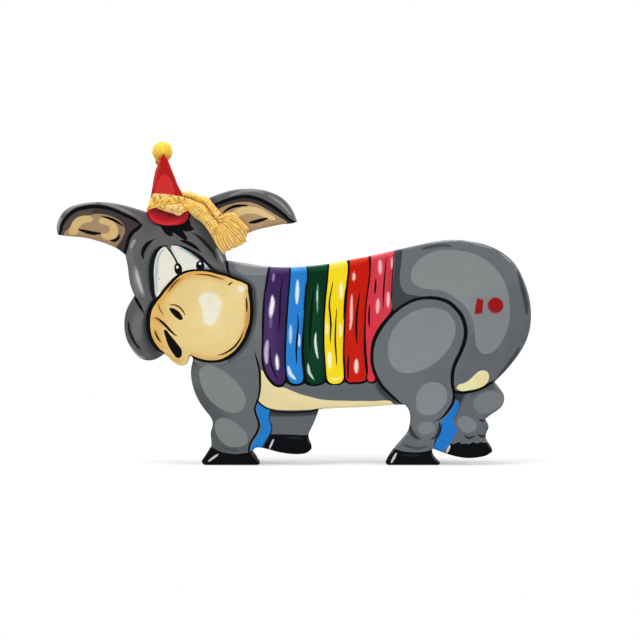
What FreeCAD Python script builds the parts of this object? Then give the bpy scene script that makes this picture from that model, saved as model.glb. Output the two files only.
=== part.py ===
# Flat-profile donkey pinata: a painted front board cut to the animal's outline,
# glued to a shallow cardboard box (rim strips + back panel) that holds the sweets,
# with a filling hatch in the back, a cord eyelet over a wooden dowel in the saddle,
# and a card party hat with a paper pom-pom and a twisted-paper scarf.
# +X to the tail, +Y to the back, +Z up; origin on the floor below the middle of the
# whole object's box.
import FreeCAD, Part
import math
import os

V = FreeCAD.Vector
doc = FreeCAD.newDocument("pinata")

# ---------------------------------------------------------------- dimensions
sheet = doc.addObject("Spreadsheet::Sheet", "dims")
CELLS = [
    ("board_thk", 6.0),        # painted front board
    ("hat_thk", 3.0),          # hat card, glued on the board's face
    ("wall_thk", 3.0),         # rim strips
    ("box_depth", 70.0),       # depth of the rim strips
    ("back_thk", 4.0),         # back panel and hatch door
    ("front_face_y", -34.0),   # painted face of the board
    ("hatch_wide", 100.0),     # opening in the back panel
    ("hatch_high", 70.0),
    ("hatch_mid_x", 55.0),
    ("hatch_low_z", 128.0),
    ("hatch_gap", 1.0),        # clearance round the door
    ("lip_wide", 6.0),         # how far the frame reaches inside the opening
    ("lip_thk", 3.0),
    ("frame_border", 12.0),    # glued border of the frame outside the opening
    ("door_rest_gap", 0.3),    # door to frame
    ("tape_thk", 0.4),
    ("tape_wide", 15.0),
    ("eye_x", 28.0),            # cord eyelet
    ("eye_mid_y", -1.0),
    ("eye_bore_rad", 4.0),
    ("eye_barrel_rad", 5.5),
    ("eye_flange_rad", 9.0),
    ("eye_flange_thk", 1.0),
    ("eye_floor_z", 242.1),    # top face of the saddle strip
    ("dowel_rad", 5.0),
    ("dowel_drop", 15.0),      # saddle strip's top to dowel's top
    ("seat_rad", 12.0),
    ("seat_thk", 5.0),
    ("dot_rad", 9.5),
    ("sticker_thk", 0.5),
    ("pompom_rad", 12.9),
    ("scarf_front_y", -47.5),
    ("scarf_back_y", -29.5),
]
for row, (alias, value) in enumerate(CELLS, start=1):
    sheet.set("A%d" % row, alias)
    sheet.set("B%d" % row, "%g" % value)
    sheet.setAlias("B%d" % row, alias)
doc.recompute()


def val(alias):
    return float(sheet.get(alias))


# ------------------------------------------------------------------ outlines
# Points are (x, z) in millimetres, seen from the front; each span is one smooth
# curve and spans meet at corners.

# painted front board
BOARD = [
    ("crown_to_left_ear_tip", [(-185, 316.9), (-208.9, 324.1), (-229.7, 328.2), (-248.5, 329.3), (-266, 327.2), (-280.5, 322.8), (-289.1, 316.5), (-294.4, 307.3), (-296.9, 295.8), (-294.9, 288.1)]),
    ("left_ear_underside", [(-294.9, 288.1), (-282.4, 286.5), (-264.6, 284.9), (-248.1, 281.3), (-231.5, 275.6), (-218.9, 269.4), (-210.9, 262.8)]),
    ("forehead_and_face", [(-210.9, 262.8), (-207.8, 246.7), (-204.8, 226.2), (-199.5, 212.2)]),
    ("cheek_and_jaw", [(-199.5, 212.2), (-208.7, 196.3), (-212.3, 177.3), (-209.6, 158.4), (-200.9, 142.2), (-189.5, 132.5), (-177.7, 131.1), (-162.2, 139.2)]),
    ("lower_lip", [(-162.2, 139.2), (-158.5, 136.3), (-150.9, 129.1), (-144.1, 125.2), (-138.3, 124.6), (-134.2, 126.5), (-131.6, 131.9), (-129.4, 137.1)]),
    ("near_front_leg_front", [(-129.4, 137.1), (-126.9, 134.2), (-127.4, 127), (-128.9, 115.4), (-127.4, 102.7), (-123.4, 89.5), (-117.3, 77.5), (-107.9, 64.8), (-102.6, 56.7), (-101.8, 50.1), (-104.1, 40.6), (-103.6, 32.2), (-103.2, 24.4)]),
    ("near_front_toe", [(-103.2, 24.4), (-108, 16.8), (-113.4, 8.6), (-115.2, 4.8), (-114.4, 2.1), (-111.1, 0)]),
    ("near_front_sole", [(-111.1, 0), (-45.5, 0)]),
    ("near_front_heel", [(-45.5, 0), (-43, 1.7), (-42.8, 4.1), (-44.6, 7.4), (-49.5, 12.7), (-51.8, 17.8)]),
    ("far_front_sole", [(-51.8, 17.8), (-47.9, 21.2), (-40.6, 21.5), (-22.8, 17), (-5.8, 14), (8.9, 13.7), (17.3, 15.9), (22.3, 20.5)]),
    ("far_front_pastern", [(22.3, 20.5), (21.9, 25.9), (18.7, 34.5), (18.6, 39.8)]),
    ("far_front_leg_back", [(18.6, 39.8), (25.7, 54.4), (31.4, 69.8)]),
    ("belly", [(31.4, 69.8), (50.3, 71.1), (74.9, 72.1), (100.9, 73.4), (123.5, 75.3), (138.9, 75.5)]),
    ("near_hind_leg_front", [(138.9, 75.5), (142.9, 70.9), (145.5, 62.3), (145.4, 52.8), (142.2, 40.8)]),
    ("near_hind_toe", [(142.2, 40.8), (129.1, 26), (119.8, 14), (115.9, 6.8), (115, 3.1), (116.1, 0.9), (118.8, 0)]),
    ("near_hind_sole", [(118.8, 0), (180.6, 0)]),
    ("near_hind_heel", [(180.6, 0), (182.7, 1.4), (182.9, 3.1), (180.9, 5.6), (175.9, 11), (173.3, 17), (173.7, 20.5)]),
    ("far_hind_sole", [(173.7, 20.5), (188.6, 14.9), (205.5, 10.1), (218.5, 8.6), (232.1, 9.7), (242.9, 12.8), (248.4, 16.8)]),
    ("far_hind_pastern", [(248.4, 16.8), (247.5, 21.6), (242.9, 29.2), (240.1, 35.1)]),
    ("far_hind_knob", [(240.1, 35.1), (241, 40), (243.7, 46.8), (242.9, 51.6), (239.8, 57.7)]),
    ("far_hind_hock", [(239.8, 57.7), (247.1, 63.4), (256.9, 70.2), (261.7, 76.2), (263.3, 82.4), (262.2, 89.2), (257.9, 95.9), (251.2, 104.1)]),
    ("rump_back_and_saddle", [(251.2, 104.1), (266, 119.3), (278.2, 134.2), (287.4, 148.4), (293.1, 161.9), (296.2, 176.3), (296.8, 191.9), (294.9, 208.2), (290.4, 224.6), (283.6, 240.5), (276.2, 252.5), (266.9, 261.7), (254.9, 269.5), (240.4, 275.6), (224, 279.6), (206.2, 281.6), (188.6, 281.4), (170.3, 278.8), (146.3, 273.3), (119.2, 267.1), (94, 261.4), (69.3, 256.7), (44.7, 252.1), (24.2, 249.4), (0.8, 247.7), (-19.5, 247.5), (-40, 249.3), (-63.1, 253), (-83.9, 256)]),
    ("nape", [(-83.9, 256), (-85.6, 262.6), (-87.7, 270.2), (-85.6, 278.4), (-79.8, 285.2), (-69.8, 289.4), (-56.5, 290.8)]),
    ("right_ear_underside", [(-56.5, 290.8), (-45.1, 294.9), (-30.1, 298.3), (-12.1, 301.7), (-0.3, 303.1), (4.1, 304.9)]),
    ("right_ear_top", [(4.1, 304.9), (-1.8, 319.3), (-12, 331.9), (-25.5, 340.1), (-43.3, 344.8), (-64.9, 345.6), (-83.6, 342.5), (-105.4, 334.7)]),
    ("behind_scarf", [(-105.4, 334.7), (-108.5, 327.8), (-116, 320.9), (-126.6, 316.6)]),
    ("under_hat", [(-126.6, 316.6), (-185, 316.9)]),
]

# box behind it: set in a few millimetres from the board's edge, level at the near hooves
BOX = [
    ("crown", [(-179.1, 309.6), (-150.4, 310.9), (-121.6, 310.9)]),
    ("nape", [(-121.6, 310.9), (-111.6, 295.9), (-101.6, 278.4), (-94.1, 264.6), (-89.1, 250.2)]),
    ("saddle", [(-89.1, 250.2), (-71.6, 248), (-51.6, 245.1), (-31.6, 242.8), (-10.4, 242.1), (5.9, 242.1), (22.1, 242.1), (37.1, 242.1), (47.1, 242.8), (55.9, 244.6), (64.6, 248.1)]),
    ("rump", [(64.6, 248.1), (95.9, 255.9), (133.4, 264.6), (170.9, 272.6), (198.4, 275.4), (225.9, 273.4), (252.1, 264.6), (270.9, 251.1), (283.4, 230.9), (290, 209.6), (291.1, 188.4), (287.1, 164.6), (275.9, 142.1), (262.1, 123.4), (245.9, 105.2)]),
    ("hock", [(245.9, 105.2), (253.4, 94.6), (257.7, 83.4), (254.6, 74.6), (244, 66.5), (234, 57.1)]),
    ("far_hind_pastern", [(234, 57.1), (237.5, 47.7), (234.6, 34.6), (240.2, 20.9)]),
    ("far_hind_sole", [(240.2, 20.9), (230.9, 15.4), (218.4, 14), (204.6, 15.6), (188.4, 20.2), (169.6, 25.9)]),
    ("near_hind_heel", [(169.6, 25.9), (169.1, 17.7), (172.1, 9.6), (176.5, 0)]),
    ("near_hind_sole", [(176.5, 0), (123.4, 0)]),
    ("near_hind_leg", [(123.4, 0), (122.7, 4.6), (126.5, 12.1), (135.9, 24), (146.5, 37.7), (150.4, 50.9), (150.4, 64), (146.5, 80.2)]),
    ("belly", [(146.5, 80.2), (123.4, 80.2), (100.9, 78.4), (74.6, 77.1), (49.6, 76), (28.4, 74.9)]),
    ("far_front_leg", [(28.4, 74.9), (20.9, 55.9), (13.7, 40.2), (14.1, 33.4), (16.9, 25.2), (16.5, 20.2)]),
    ("far_front_sole", [(16.5, 20.2), (7.1, 18.8), (-6.6, 19.4), (-22.9, 22.3), (-39.1, 26.4), (-56.6, 26.9)]),
    ("near_front_heel", [(-56.6, 26.9), (-56.6, 18.4), (-53.5, 10.9), (-48.8, 4), (-48.1, 0)]),
    ("near_front_sole", [(-48.1, 0), (-109.1, 0)]),
    ("near_front_leg", [(-109.1, 0), (-108.3, 5.9), (-103.5, 14), (-98.5, 23.4), (-98.6, 32.1), (-98.9, 40.9), (-96.9, 49.6), (-97.9, 58.4), (-103.5, 67.7), (-112.9, 80.2), (-118.8, 91.5), (-122.7, 103.4), (-123.9, 115.4), (-122.9, 127.1), (-122.7, 140.9)]),
    ("chin", [(-122.7, 140.9), (-142.9, 142.9), (-162.3, 144.4)]),
    ("cheek", [(-162.3, 144.4), (-170.4, 139.4), (-179.1, 136.2), (-187.9, 137.4), (-196.9, 145.4), (-204.5, 159.6), (-207.2, 177.1), (-203.9, 194), (-194.1, 211.7)]),
    ("face", [(-194.1, 211.7), (-199.7, 227.1), (-202.7, 245.9), (-204.1, 263.4), (-201.6, 280.9), (-192.9, 297.1), (-179.1, 309.6)]),
]

# party hat card
HAT = [
    ("left_side", [(-162.3, 387.8), (-166, 383.4), (-168.5, 377.1), (-171.6, 368.4), (-174.1, 355.9), (-176.6, 339.6), (-179.8, 327.1), (-182.3, 317.1)]),
    ("brim", [(-182.3, 317.1), (-180.9, 310.1), (-176.6, 304.6), (-170.4, 301.5), (-160.4, 299.4), (-147.9, 299.6), (-136.6, 301.5), (-131.6, 305.9), (-129.1, 312.1), (-129.1, 315.9)]),
    ("right_side", [(-129.1, 315.9), (-131.6, 327.1), (-135.9, 335.9), (-139.1, 342.1), (-142.9, 347.8), (-147.2, 355.9), (-151.4, 364.6), (-155, 372.8), (-157.9, 380.5), (-162.3, 387.8)]),
]

# twisted-paper scarf: the wraps round the hat's base, then the two ends
SCARF_BAND = [
    ("top", [(-181.5, 338.2), (-165, 339.4), (-150, 337.8), (-136.5, 335.4)]),
    ("right", [(-136.5, 335.4), (-129.8, 331.5), (-127.5, 324.5), (-128.5, 317.6)]),
    ("bottom", [(-128.5, 317.6), (-144, 312.2), (-160.4, 317.3), (-171.6, 321.6), (-181.8, 318.6)]),
    ("left", [(-181.8, 318.6), (-184.2, 326), (-181.5, 338.2)]),
]
SCARF_UPPER = [
    ("top", [(-139.5, 342.6), (-128, 342), (-108.5, 336.5), (-99.8, 327), (-86, 314.2), (-79, 309.8), (-66.5, 302.4), (-56.8, 293.6)]),
    ("fringe", [(-56.8, 293.6), (-59.2, 289.8)]),
    ("split", [(-59.2, 289.8), (-76, 297.5), (-92.8, 303.3), (-107, 317), (-121.5, 330), (-131, 336.5), (-139.5, 342.6)]),
]
SCARF_LOWER = [
    ("split", [(-133, 331.8), (-121.5, 326.5), (-107, 313.5), (-94, 300.4), (-77, 294.5), (-60, 286.5)]),
    ("fringe", [(-60, 286.5), (-58.5, 281), (-63.5, 275.5), (-75.5, 269.7), (-86.7, 262.8)]),
    ("bottom", [(-86.7, 262.8), (-92.8, 268.5), (-100.3, 278.5), (-106.6, 290.5), (-113, 302.2), (-120.4, 314.6), (-127, 320.5)]),
    ("left", [(-127, 320.5), (-129.5, 325.5), (-133, 331.8)]),
]

# short bar of the target mark on the rump
BAR = [
    (229.4, 208.9), (236.6, 206.4), (235.4, 190.0), (226.4, 188.9), (227.2, 197.4),
]


# ------------------------------------------------------------------- helpers
def curve(points):
    pts = [V(x, z, 0) for x, z in points]
    if len(pts) == 2:
        return Part.LineSegment(pts[0], pts[1])
    c = Part.BSplineCurve()
    c.interpolate(pts)
    return c


def tangent(c, u):
    d = c.tangent(u)
    d = d[0] if isinstance(d, (tuple, list)) else d
    d = V(d.x, d.y, 0)
    d.normalize()
    return d


def ends(points):
    """unit tangents at the start and the end of a span"""
    c = curve(points)
    return tangent(c, c.FirstParameter), tangent(c, c.LastParameter)


def inward(t):
    # the outlines of the box run clockwise, so the inside is on the right
    return V(t.y, -t.x, 0)


def mitre(point, t_in, t_out, thk):
    a, b = inward(t_in), inward(t_out)
    s = a.add(b)
    k = thk / (1.0 + a.dot(b))
    return (point[0] + s.x * k, point[1] + s.y * k)


def offset_span(points, start, end, thk, turn_a, turn_b):
    """points of the inner face of a strip, from mitre to mitre"""
    c = curve(points)
    u0, u1 = c.FirstParameter, c.LastParameter
    if len(points) == 2:
        return [start, end]
    length = c.length(u0, u1)
    n = max(4, int(round(length / 9.0)))
    lo = max(0.0, thk * math.tan(max(0.0, turn_a) / 2.0)) + 2.0
    hi = length - max(0.0, thk * math.tan(max(0.0, turn_b) / 2.0)) - 2.0
    out = [start]
    for i in range(1, n):
        dist = length * i / n
        if dist <= lo or dist >= hi:
            continue
        u = c.parameterAtDistance(dist, u0)
        p = c.value(u)
        nrm = inward(tangent(c, u))
        out.append((p.x + nrm.x * thk, p.y + nrm.y * thk))
    out.append(end)
    return out


def sketch_in(body, name, geometry):
    sk = body.newObject("Sketcher::SketchObject", name)
    plane = [o for o in body.Origin.OriginFeatures if o.Role == "XZ_Plane"][0]
    sk.AttachmentSupport = [(plane, "")]
    sk.MapMode = "FlatFace"
    sk.addGeometry(geometry, False)
    return sk


def slab(name, geometry, back_y, thickness):
    """a flat piece cut from the outline, its back face at back_y (an expression)"""
    body = doc.addObject("PartDesign::Body", name)
    body.Label = name
    sk = sketch_in(body, name + "_outline", geometry)
    pad = body.newObject("PartDesign::Pad", name + "_pad")
    pad.Profile = sk
    pad.setExpression("Length", thickness)
    body.Tip = pad
    body.setExpression(".Placement.Base.y", back_y)
    doc.recompute()
    if abs(pad.Shape.BoundBox.YMax) > 0.01:
        raise RuntimeError(name + " is padded the wrong way")
    return body


def closed(spans):
    return [curve(p) for _, p in spans]


def box(name, size, place):
    b = doc.addObject("Part::Box", name)
    b.Label = name
    for prop, expr in zip(("Length", "Width", "Height"), size):
        b.setExpression(prop, expr)
    for axis, expr in zip("xyz", place):
        b.setExpression(".Placement.Base." + axis, expr)
    return b


NODES = []

# --------------------------------------------------------------- front board
front_panel = slab("front_panel", closed(BOARD), "dims.front_face_y + dims.board_thk", "dims.board_thk")
NODES.append(front_panel)

hat_panel = slab("hat_panel", closed(HAT), "dims.front_face_y", "dims.hat_thk")
NODES.append(hat_panel)

# ------------------------------------------------- back panel and its hatch
x0, x1 = val("hatch_mid_x") - val("hatch_wide") / 2, val("hatch_mid_x") + val("hatch_wide") / 2
z0, z1 = val("hatch_low_z"), val("hatch_low_z") + val("hatch_high")
hole = [(x0, z0), (x1, z0), (x1, z1), (x0, z1)]
hole_lines = [Part.LineSegment(V(*hole[i], 0), V(*hole[(i + 1) % 4], 0)) for i in range(4)]
back_panel = slab(
    "back_panel",
    closed(BOX) + hole_lines,
    "dims.front_face_y + dims.board_thk + dims.box_depth + dims.back_thk",
    "dims.back_thk",
)
NODES.append(back_panel)


def rect(xa, za, xb, zb):
    c = [(xa, za), (xb, za), (xb, zb), (xa, zb)]
    return [Part.LineSegment(V(*c[i], 0), V(*c[(i + 1) % 4], 0)) for i in range(4)]


b, lip = val("frame_border"), val("lip_wide")
hatch_frame = slab(
    "hatch_frame",
    rect(x0 - b, z0 - b, x1 + b, z1 + b) + rect(x0 + lip, z0 + lip, x1 - lip, z1 - lip),
    "dims.front_face_y + dims.board_thk + dims.box_depth",
    "dims.lip_thk",
)
NODES.append(hatch_frame)

back_face = "dims.front_face_y + dims.board_thk + dims.box_depth + dims.back_thk"
hatch_door = box(
    "hatch_door",
    ("dims.hatch_wide - 2 * dims.hatch_gap", "dims.back_thk - dims.door_rest_gap", "dims.hatch_high - 2 * dims.hatch_gap"),
    (
        "dims.hatch_mid_x - dims.hatch_wide / 2 + dims.hatch_gap",
        "dims.front_face_y + dims.board_thk + dims.box_depth + dims.door_rest_gap",
        "dims.hatch_low_z + dims.hatch_gap",
    ),
)
NODES.append(hatch_door)

# gummed-paper tape is the hinge: one half on the panel, one on the door
hinge_tape_panel = box(
    "hinge_tape_panel",
    ("dims.hatch_wide - 2 * dims.hatch_gap", "dims.tape_thk", "dims.tape_wide"),
    ("dims.hatch_mid_x - dims.hatch_wide / 2 + dims.hatch_gap", back_face, "dims.hatch_low_z + dims.hatch_high + 0.8"),
)
NODES.append(hinge_tape_panel)
hinge_tape_door = box(
    "hinge_tape_door",
    ("dims.hatch_wide - 2 * dims.hatch_gap", "dims.tape_thk", "dims.tape_wide"),
    ("dims.hatch_mid_x - dims.hatch_wide / 2 + dims.hatch_gap", back_face, "dims.hatch_low_z + dims.hatch_high - dims.hatch_gap - 0.8 - dims.tape_wide"),
)
NODES.append(hinge_tape_door)

# pull tab: glued on the door, its free end passes over the panel's edge
tab_root = box("tab_root", ("24", "1.5", "16"), ("dims.hatch_mid_x - 12", back_face, "dims.hatch_low_z + dims.hatch_gap + 3"))
tab_end = box("tab_end", ("24", "1.1", "18.1"), ("dims.hatch_mid_x - 12", back_face + " + 0.4", "dims.hatch_low_z + dims.hatch_gap - 15"))
hatch_tab = doc.addObject("Part::Fuse", "hatch_tab")
hatch_tab.Label = "hatch_tab"
hatch_tab.Base = tab_root
hatch_tab.Tool = tab_end
NODES.append(hatch_tab)

# ---------------------------------------------------------------- rim strips
STRIPS = [
    ("rim_head_top", ["crown", "nape"]),
    ("rim_saddle", ["saddle"]),
    ("rim_rump", ["rump"]),
    ("rim_hind_leg_rear", ["hock", "far_hind_pastern"]),
    ("rim_hind_soles", ["far_hind_sole", "near_hind_heel", "near_hind_sole"]),
    ("rim_hind_leg_front", ["near_hind_leg"]),
    ("rim_belly", ["belly"]),
    ("rim_front_leg_rear", ["far_front_leg"]),
    ("rim_front_soles", ["far_front_sole", "near_front_heel", "near_front_sole"]),
    ("rim_front_leg_front", ["near_front_leg"]),
    ("rim_jaw", ["chin", "cheek"]),
    ("rim_face", ["face"]),
]
names = [n for n, _ in BOX]
spans = dict(BOX)
thk = val("wall_thk")
tan = {n: ends(p) for n, p in BOX}
corner, turn = {}, {}
for i, n in enumerate(names):
    prev = names[i - 1]
    t_in, t_out = tan[prev][1], tan[n][0]
    corner[n] = mitre(spans[n][0], t_in, t_out, thk)
    # positive where the outline turns right, round a convex corner
    turn[n] = math.atan2(t_in.y * t_out.x - t_in.x * t_out.y, t_in.dot(t_out))

for strip, members in STRIPS:
    outer = [curve(spans[m]) for m in members]
    inner = []
    for m in members:
        nxt = names[(names.index(m) + 1) % len(names)]
        inner.append(offset_span(spans[m], corner[m], corner[nxt], thk, turn[m], turn[nxt]))
    first, last = spans[members[0]][0], spans[members[-1]][-1]
    geometry = outer + [curve(p) for p in inner]
    geometry.append(Part.LineSegment(V(*first, 0), V(*inner[0][0], 0)))
    geometry.append(Part.LineSegment(V(*last, 0), V(*inner[-1][-1], 0)))
    NODES.append(slab(strip, geometry, "dims.front_face_y + dims.board_thk + dims.box_depth", "dims.box_depth"))

# the cord's hole through the saddle strip
saddle = [n for n in NODES if n.Label == "rim_saddle"][0]
before = saddle.Shape.Volume
hole_sk = saddle.newObject("Sketcher::SketchObject", "eyelet_hole")
plane = [o for o in saddle.Origin.OriginFeatures if o.Role == "XY_Plane"][0]
hole_sk.AttachmentSupport = [(plane, "")]
hole_sk.MapMode = "FlatFace"
hole_sk.addGeometry(Part.Circle(V(0, 0, 0), V(0, 0, 1), 1.0), False)
import Sketcher
hole_sk.addConstraint(Sketcher.Constraint("Radius", 0, val("eye_barrel_rad")))
hole_sk.setExpression("Constraints[0]", "dims.eye_barrel_rad + 0.1")
hole_sk.addConstraint(Sketcher.Constraint("DistanceX", 0, 3, val("eye_x")))
hole_sk.setExpression("Constraints[1]", "dims.eye_x")
hole_sk.addConstraint(Sketcher.Constraint("DistanceY", 0, 3, -1.0))
hole_sk.setDatum(2, FreeCAD.Units.Quantity("%g mm" % (val("eye_mid_y") - (val("front_face_y") + val("board_thk") + val("box_depth")))))
pocket = saddle.newObject("PartDesign::Pocket", "eyelet_pocket")
pocket.Profile = hole_sk
pocket.Type = 1          # through all
pocket.Reversed = True
saddle.Tip = pocket
doc.recompute()
cut = before - saddle.Shape.Volume
if cut < 150:
    raise RuntimeError("the eyelet hole was not cut: %g" % cut)

# ------------------------------------------------------------ cord eyelet
def ring(name, outer, bore, height, place):
    """a turned ring: bound cylinder less a bound bore"""
    a = doc.addObject("Part::Cylinder", name + "_outer")
    a.setExpression("Radius", outer)
    a.setExpression("Height", height)
    c = doc.addObject("Part::Cylinder", name + "_bore")
    c.setExpression("Radius", bore)
    c.setExpression("Height", height + " + 2")
    for o, dz in ((a, ""), (c, " - 1")):
        o.setExpression(".Placement.Base.x", place[0])
        o.setExpression(".Placement.Base.y", place[1])
        o.setExpression(".Placement.Base.z", place[2] + dz)
    r = doc.addObject("Part::Cut", name)
    r.Base = a
    r.Tool = c
    return r


barrel = ring("eyelet_barrel", "dims.eye_barrel_rad", "dims.eye_bore_rad", "dims.wall_thk + dims.eye_flange_thk + 1.0",
              ("dims.eye_x", "dims.eye_mid_y", "dims.eye_floor_z - dims.wall_thk - dims.eye_flange_thk - 0.8"))
flange = ring("eyelet_flange", "dims.eye_flange_rad", "dims.eye_bore_rad", "dims.eye_flange_thk",
              ("dims.eye_x", "dims.eye_mid_y", "dims.eye_floor_z + 0.2"))
eyelet = doc.addObject("Part::Fuse", "hanging_eyelet")
eyelet.Label = "hanging_eyelet"
eyelet.Base = barrel
eyelet.Tool = flange
NODES.append(eyelet)
washer = ring("eyelet_washer", "dims.eye_flange_rad", "dims.eye_barrel_rad + 0.05", "dims.eye_flange_thk",
              ("dims.eye_x", "dims.eye_mid_y", "dims.eye_floor_z - dims.wall_thk - dims.eye_flange_thk - 0.2"))
washer.Label = "eyelet_washer"
NODES.append(washer)

# ------------------------------------------------- dowel that takes the pull
def rod(name, radius, length, place):
    c = doc.addObject("Part::Cylinder", name)
    c.setExpression("Radius", radius)
    c.setExpression("Height", length)
    c.Placement = FreeCAD.Placement(V(0, 0, 0), FreeCAD.Rotation(V(1, 0, 0), -90))
    for axis, expr in zip("xyz", place):
        c.setExpression(".Placement.Base." + axis, expr)
    return c


dowel_z = "dims.eye_floor_z - dims.dowel_drop - dims.dowel_rad"
inner_front = "dims.front_face_y + dims.board_thk"
dowel = rod("hanger_dowel", "dims.dowel_rad", "dims.box_depth", ("dims.eye_x", inner_front, dowel_z))
dowel.Label = "hanger_dowel"
NODES.append(dowel)
for seat, y_at in (("dowel_seat_front", inner_front), ("dowel_seat_back", inner_front + " + dims.box_depth - dims.seat_thk")):
    disc = rod(seat + "_disc", "dims.seat_rad", "dims.seat_thk", ("dims.eye_x", y_at, dowel_z))
    bore = rod(seat + "_bore", "dims.dowel_rad + 0.1", "dims.seat_thk + 2", ("dims.eye_x", y_at + " - 1", dowel_z))
    s = doc.addObject("Part::Cut", seat)
    s.Label = seat
    s.Base = disc
    s.Tool = bore
    NODES.append(s)

# --------------------------- cardboard spacer blocks between board and back
for spacer, place, size in (
    ("spacer_head", ("-170", "200"), ("44", "52")),
    ("spacer_front_leg", ("-86", "42"), ("26", "54")),
    ("spacer_hind_leg", ("166", "40"), ("26", "54")),
    ("spacer_rump", ("218", "172"), ("34", "56")),
):
    s = box(spacer, (size[0], "dims.box_depth", size[1]), (place[0], inner_front, place[1]))
    NODES.append(s)

# ---------------------------------------------------- target mark on the rump
dot = doc.addObject("PartDesign::Body", "target_dot")
dot.Label = "target_dot"
sk = sketch_in(dot, "target_dot_outline", [Part.Circle(V(252.1, 199.9, 0), V(0, 0, 1), 9.0)])
sk.addConstraint(Sketcher.Constraint("Radius", 0, val("dot_rad")))
sk.setExpression("Constraints[0]", "dims.dot_rad")
pad = dot.newObject("PartDesign::Pad", "target_dot_pad")
pad.Profile = sk
pad.setExpression("Length", "dims.sticker_thk")
dot.Tip = pad
dot.setExpression(".Placement.Base.y", "dims.front_face_y")
NODES.append(dot)
bar_lines = [Part.LineSegment(V(*BAR[i], 0), V(*BAR[(i + 1) % len(BAR)], 0)) for i in range(len(BAR))]
NODES.append(slab("target_bar", bar_lines, "dims.front_face_y", "dims.sticker_thk"))

# --------------------------------------------- pom-pom and twisted-paper scarf
pompom = doc.addObject("Part::Sphere", "pompom")
pompom.Label = "pompom"
pompom.setExpression("Radius", "dims.pompom_rad")
pompom.Placement.Base.x = -163.5
pompom.Placement.Base.z = 391.5
pompom.setExpression(".Placement.Base.y", "dims.front_face_y + dims.pompom_rad + 0.1")
NODES.append(pompom)

# the wraps grip the hat card from both sides, so the card and the board are cut out of them
band_solid = slab("band_solid", closed(SCARF_BAND), "dims.scarf_back_y", "dims.scarf_back_y - dims.scarf_front_y")
cards = doc.addObject("Part::Fuse", "cards")
cards.Base = hat_panel
cards.Tool = front_panel
scarf_band = doc.addObject("Part::Cut", "scarf_band")
scarf_band.Label = "scarf_band"
scarf_band.Base = band_solid
scarf_band.Tool = cards
NODES.append(scarf_band)
wraps = doc.addObject("Part::Fuse", "card_and_wraps")
wraps.Base = hat_panel
wraps.Tool = scarf_band
for end, outline, deep in (("scarf_end_upper", SCARF_UPPER, "8"), ("scarf_end_lower", SCARF_LOWER, "10")):
    solid = slab(end + "_solid", closed(outline), "dims.front_face_y - 0.2", deep)
    cut_end = doc.addObject("Part::Cut", end)
    cut_end.Label = end
    cut_end.Base = solid
    cut_end.Tool = wraps
    NODES.append(cut_end)

# ------------------------------------------------------------ check and write
doc.recompute()
for obj in doc.Objects:
    if "Invalid" in obj.State or "Error" in obj.State:
        raise RuntimeError("%s is %s" % (obj.Name, obj.State))
os.makedirs("parts", exist_ok=True)
whole = None
for node in NODES:
    shape = node.Shape
    if shape.isNull() or not shape.isValid() or not shape.Solids:
        raise RuntimeError(node.Label + " has no valid solid")
    bb = shape.BoundBox
    whole = FreeCAD.BoundBox(bb) if whole is None else whole
    whole.add(bb)
    print("%-22s %d solid  vol %9.1f  x %7.1f..%7.1f  y %6.1f..%6.1f  z %6.1f..%6.1f" % (
        node.Label, len(shape.Solids), shape.Volume, bb.XMin, bb.XMax, bb.YMin, bb.YMax, bb.ZMin, bb.ZMax))
for node in NODES:
    node.Shape.exportStep("parts/%s.step" % node.Label)
print("whole", whole)
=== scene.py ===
import math
import random

import bpy
import numpy as np
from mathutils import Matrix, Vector, kdtree, noise
from mathutils.geometry import delaunay_2d_cdt


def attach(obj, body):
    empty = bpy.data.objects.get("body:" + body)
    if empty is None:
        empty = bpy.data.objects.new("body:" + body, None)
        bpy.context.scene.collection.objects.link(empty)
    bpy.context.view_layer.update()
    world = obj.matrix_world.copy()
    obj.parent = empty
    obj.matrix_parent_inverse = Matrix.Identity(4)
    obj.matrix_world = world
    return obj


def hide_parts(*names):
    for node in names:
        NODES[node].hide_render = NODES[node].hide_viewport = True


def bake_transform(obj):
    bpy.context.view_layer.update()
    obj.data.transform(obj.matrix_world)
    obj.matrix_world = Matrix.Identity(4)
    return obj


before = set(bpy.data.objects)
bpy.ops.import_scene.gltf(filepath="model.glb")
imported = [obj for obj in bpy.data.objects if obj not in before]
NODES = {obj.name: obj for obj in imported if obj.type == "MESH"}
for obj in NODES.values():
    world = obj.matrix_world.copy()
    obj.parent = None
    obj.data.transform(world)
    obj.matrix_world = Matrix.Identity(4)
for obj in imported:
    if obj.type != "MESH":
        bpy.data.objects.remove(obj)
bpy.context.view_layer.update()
MM = 0.001
rng = random.Random(41)

# ------------------------------------------------------------------ camera
cam_data = bpy.data.cameras.new("front_camera")
cam_data.lens = 100.0
cam_data.sensor_width = 36.0
cam_data.clip_end = 60.0
cam = bpy.data.objects.new("front_camera", cam_data)
cam.location = (0.0327, -2.256, 0.1815)
cam.rotation_euler = (math.radians(90), 0, 0)
bpy.context.scene.collection.objects.link(cam)
bpy.context.scene.camera = cam
bpy.context.scene.view_settings.view_transform = "Standard"
bpy.context.scene.view_settings.look = "None"


# ------------------------------------------------------------------ colours
def lin(c):
    out = []
    for v in c:
        v = v / 255.0
        out.append(v / 12.92 if v <= 0.04045 else ((v + 0.055) / 1.055) ** 2.4)
    return np.array(out)


def rgba(c):
    return (*lin(c), 1.0)


BLACK = (9, 9, 11)


# ------------------------------------------------------------------ outlines
def art(points):
    """Artwork points (drawn on a grid of 1.25 mm, y down) to x, z in mm."""
    return [((x - 293.82) * 1.25, (465.2 - y) * 1.25) for x, y in points]


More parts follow.
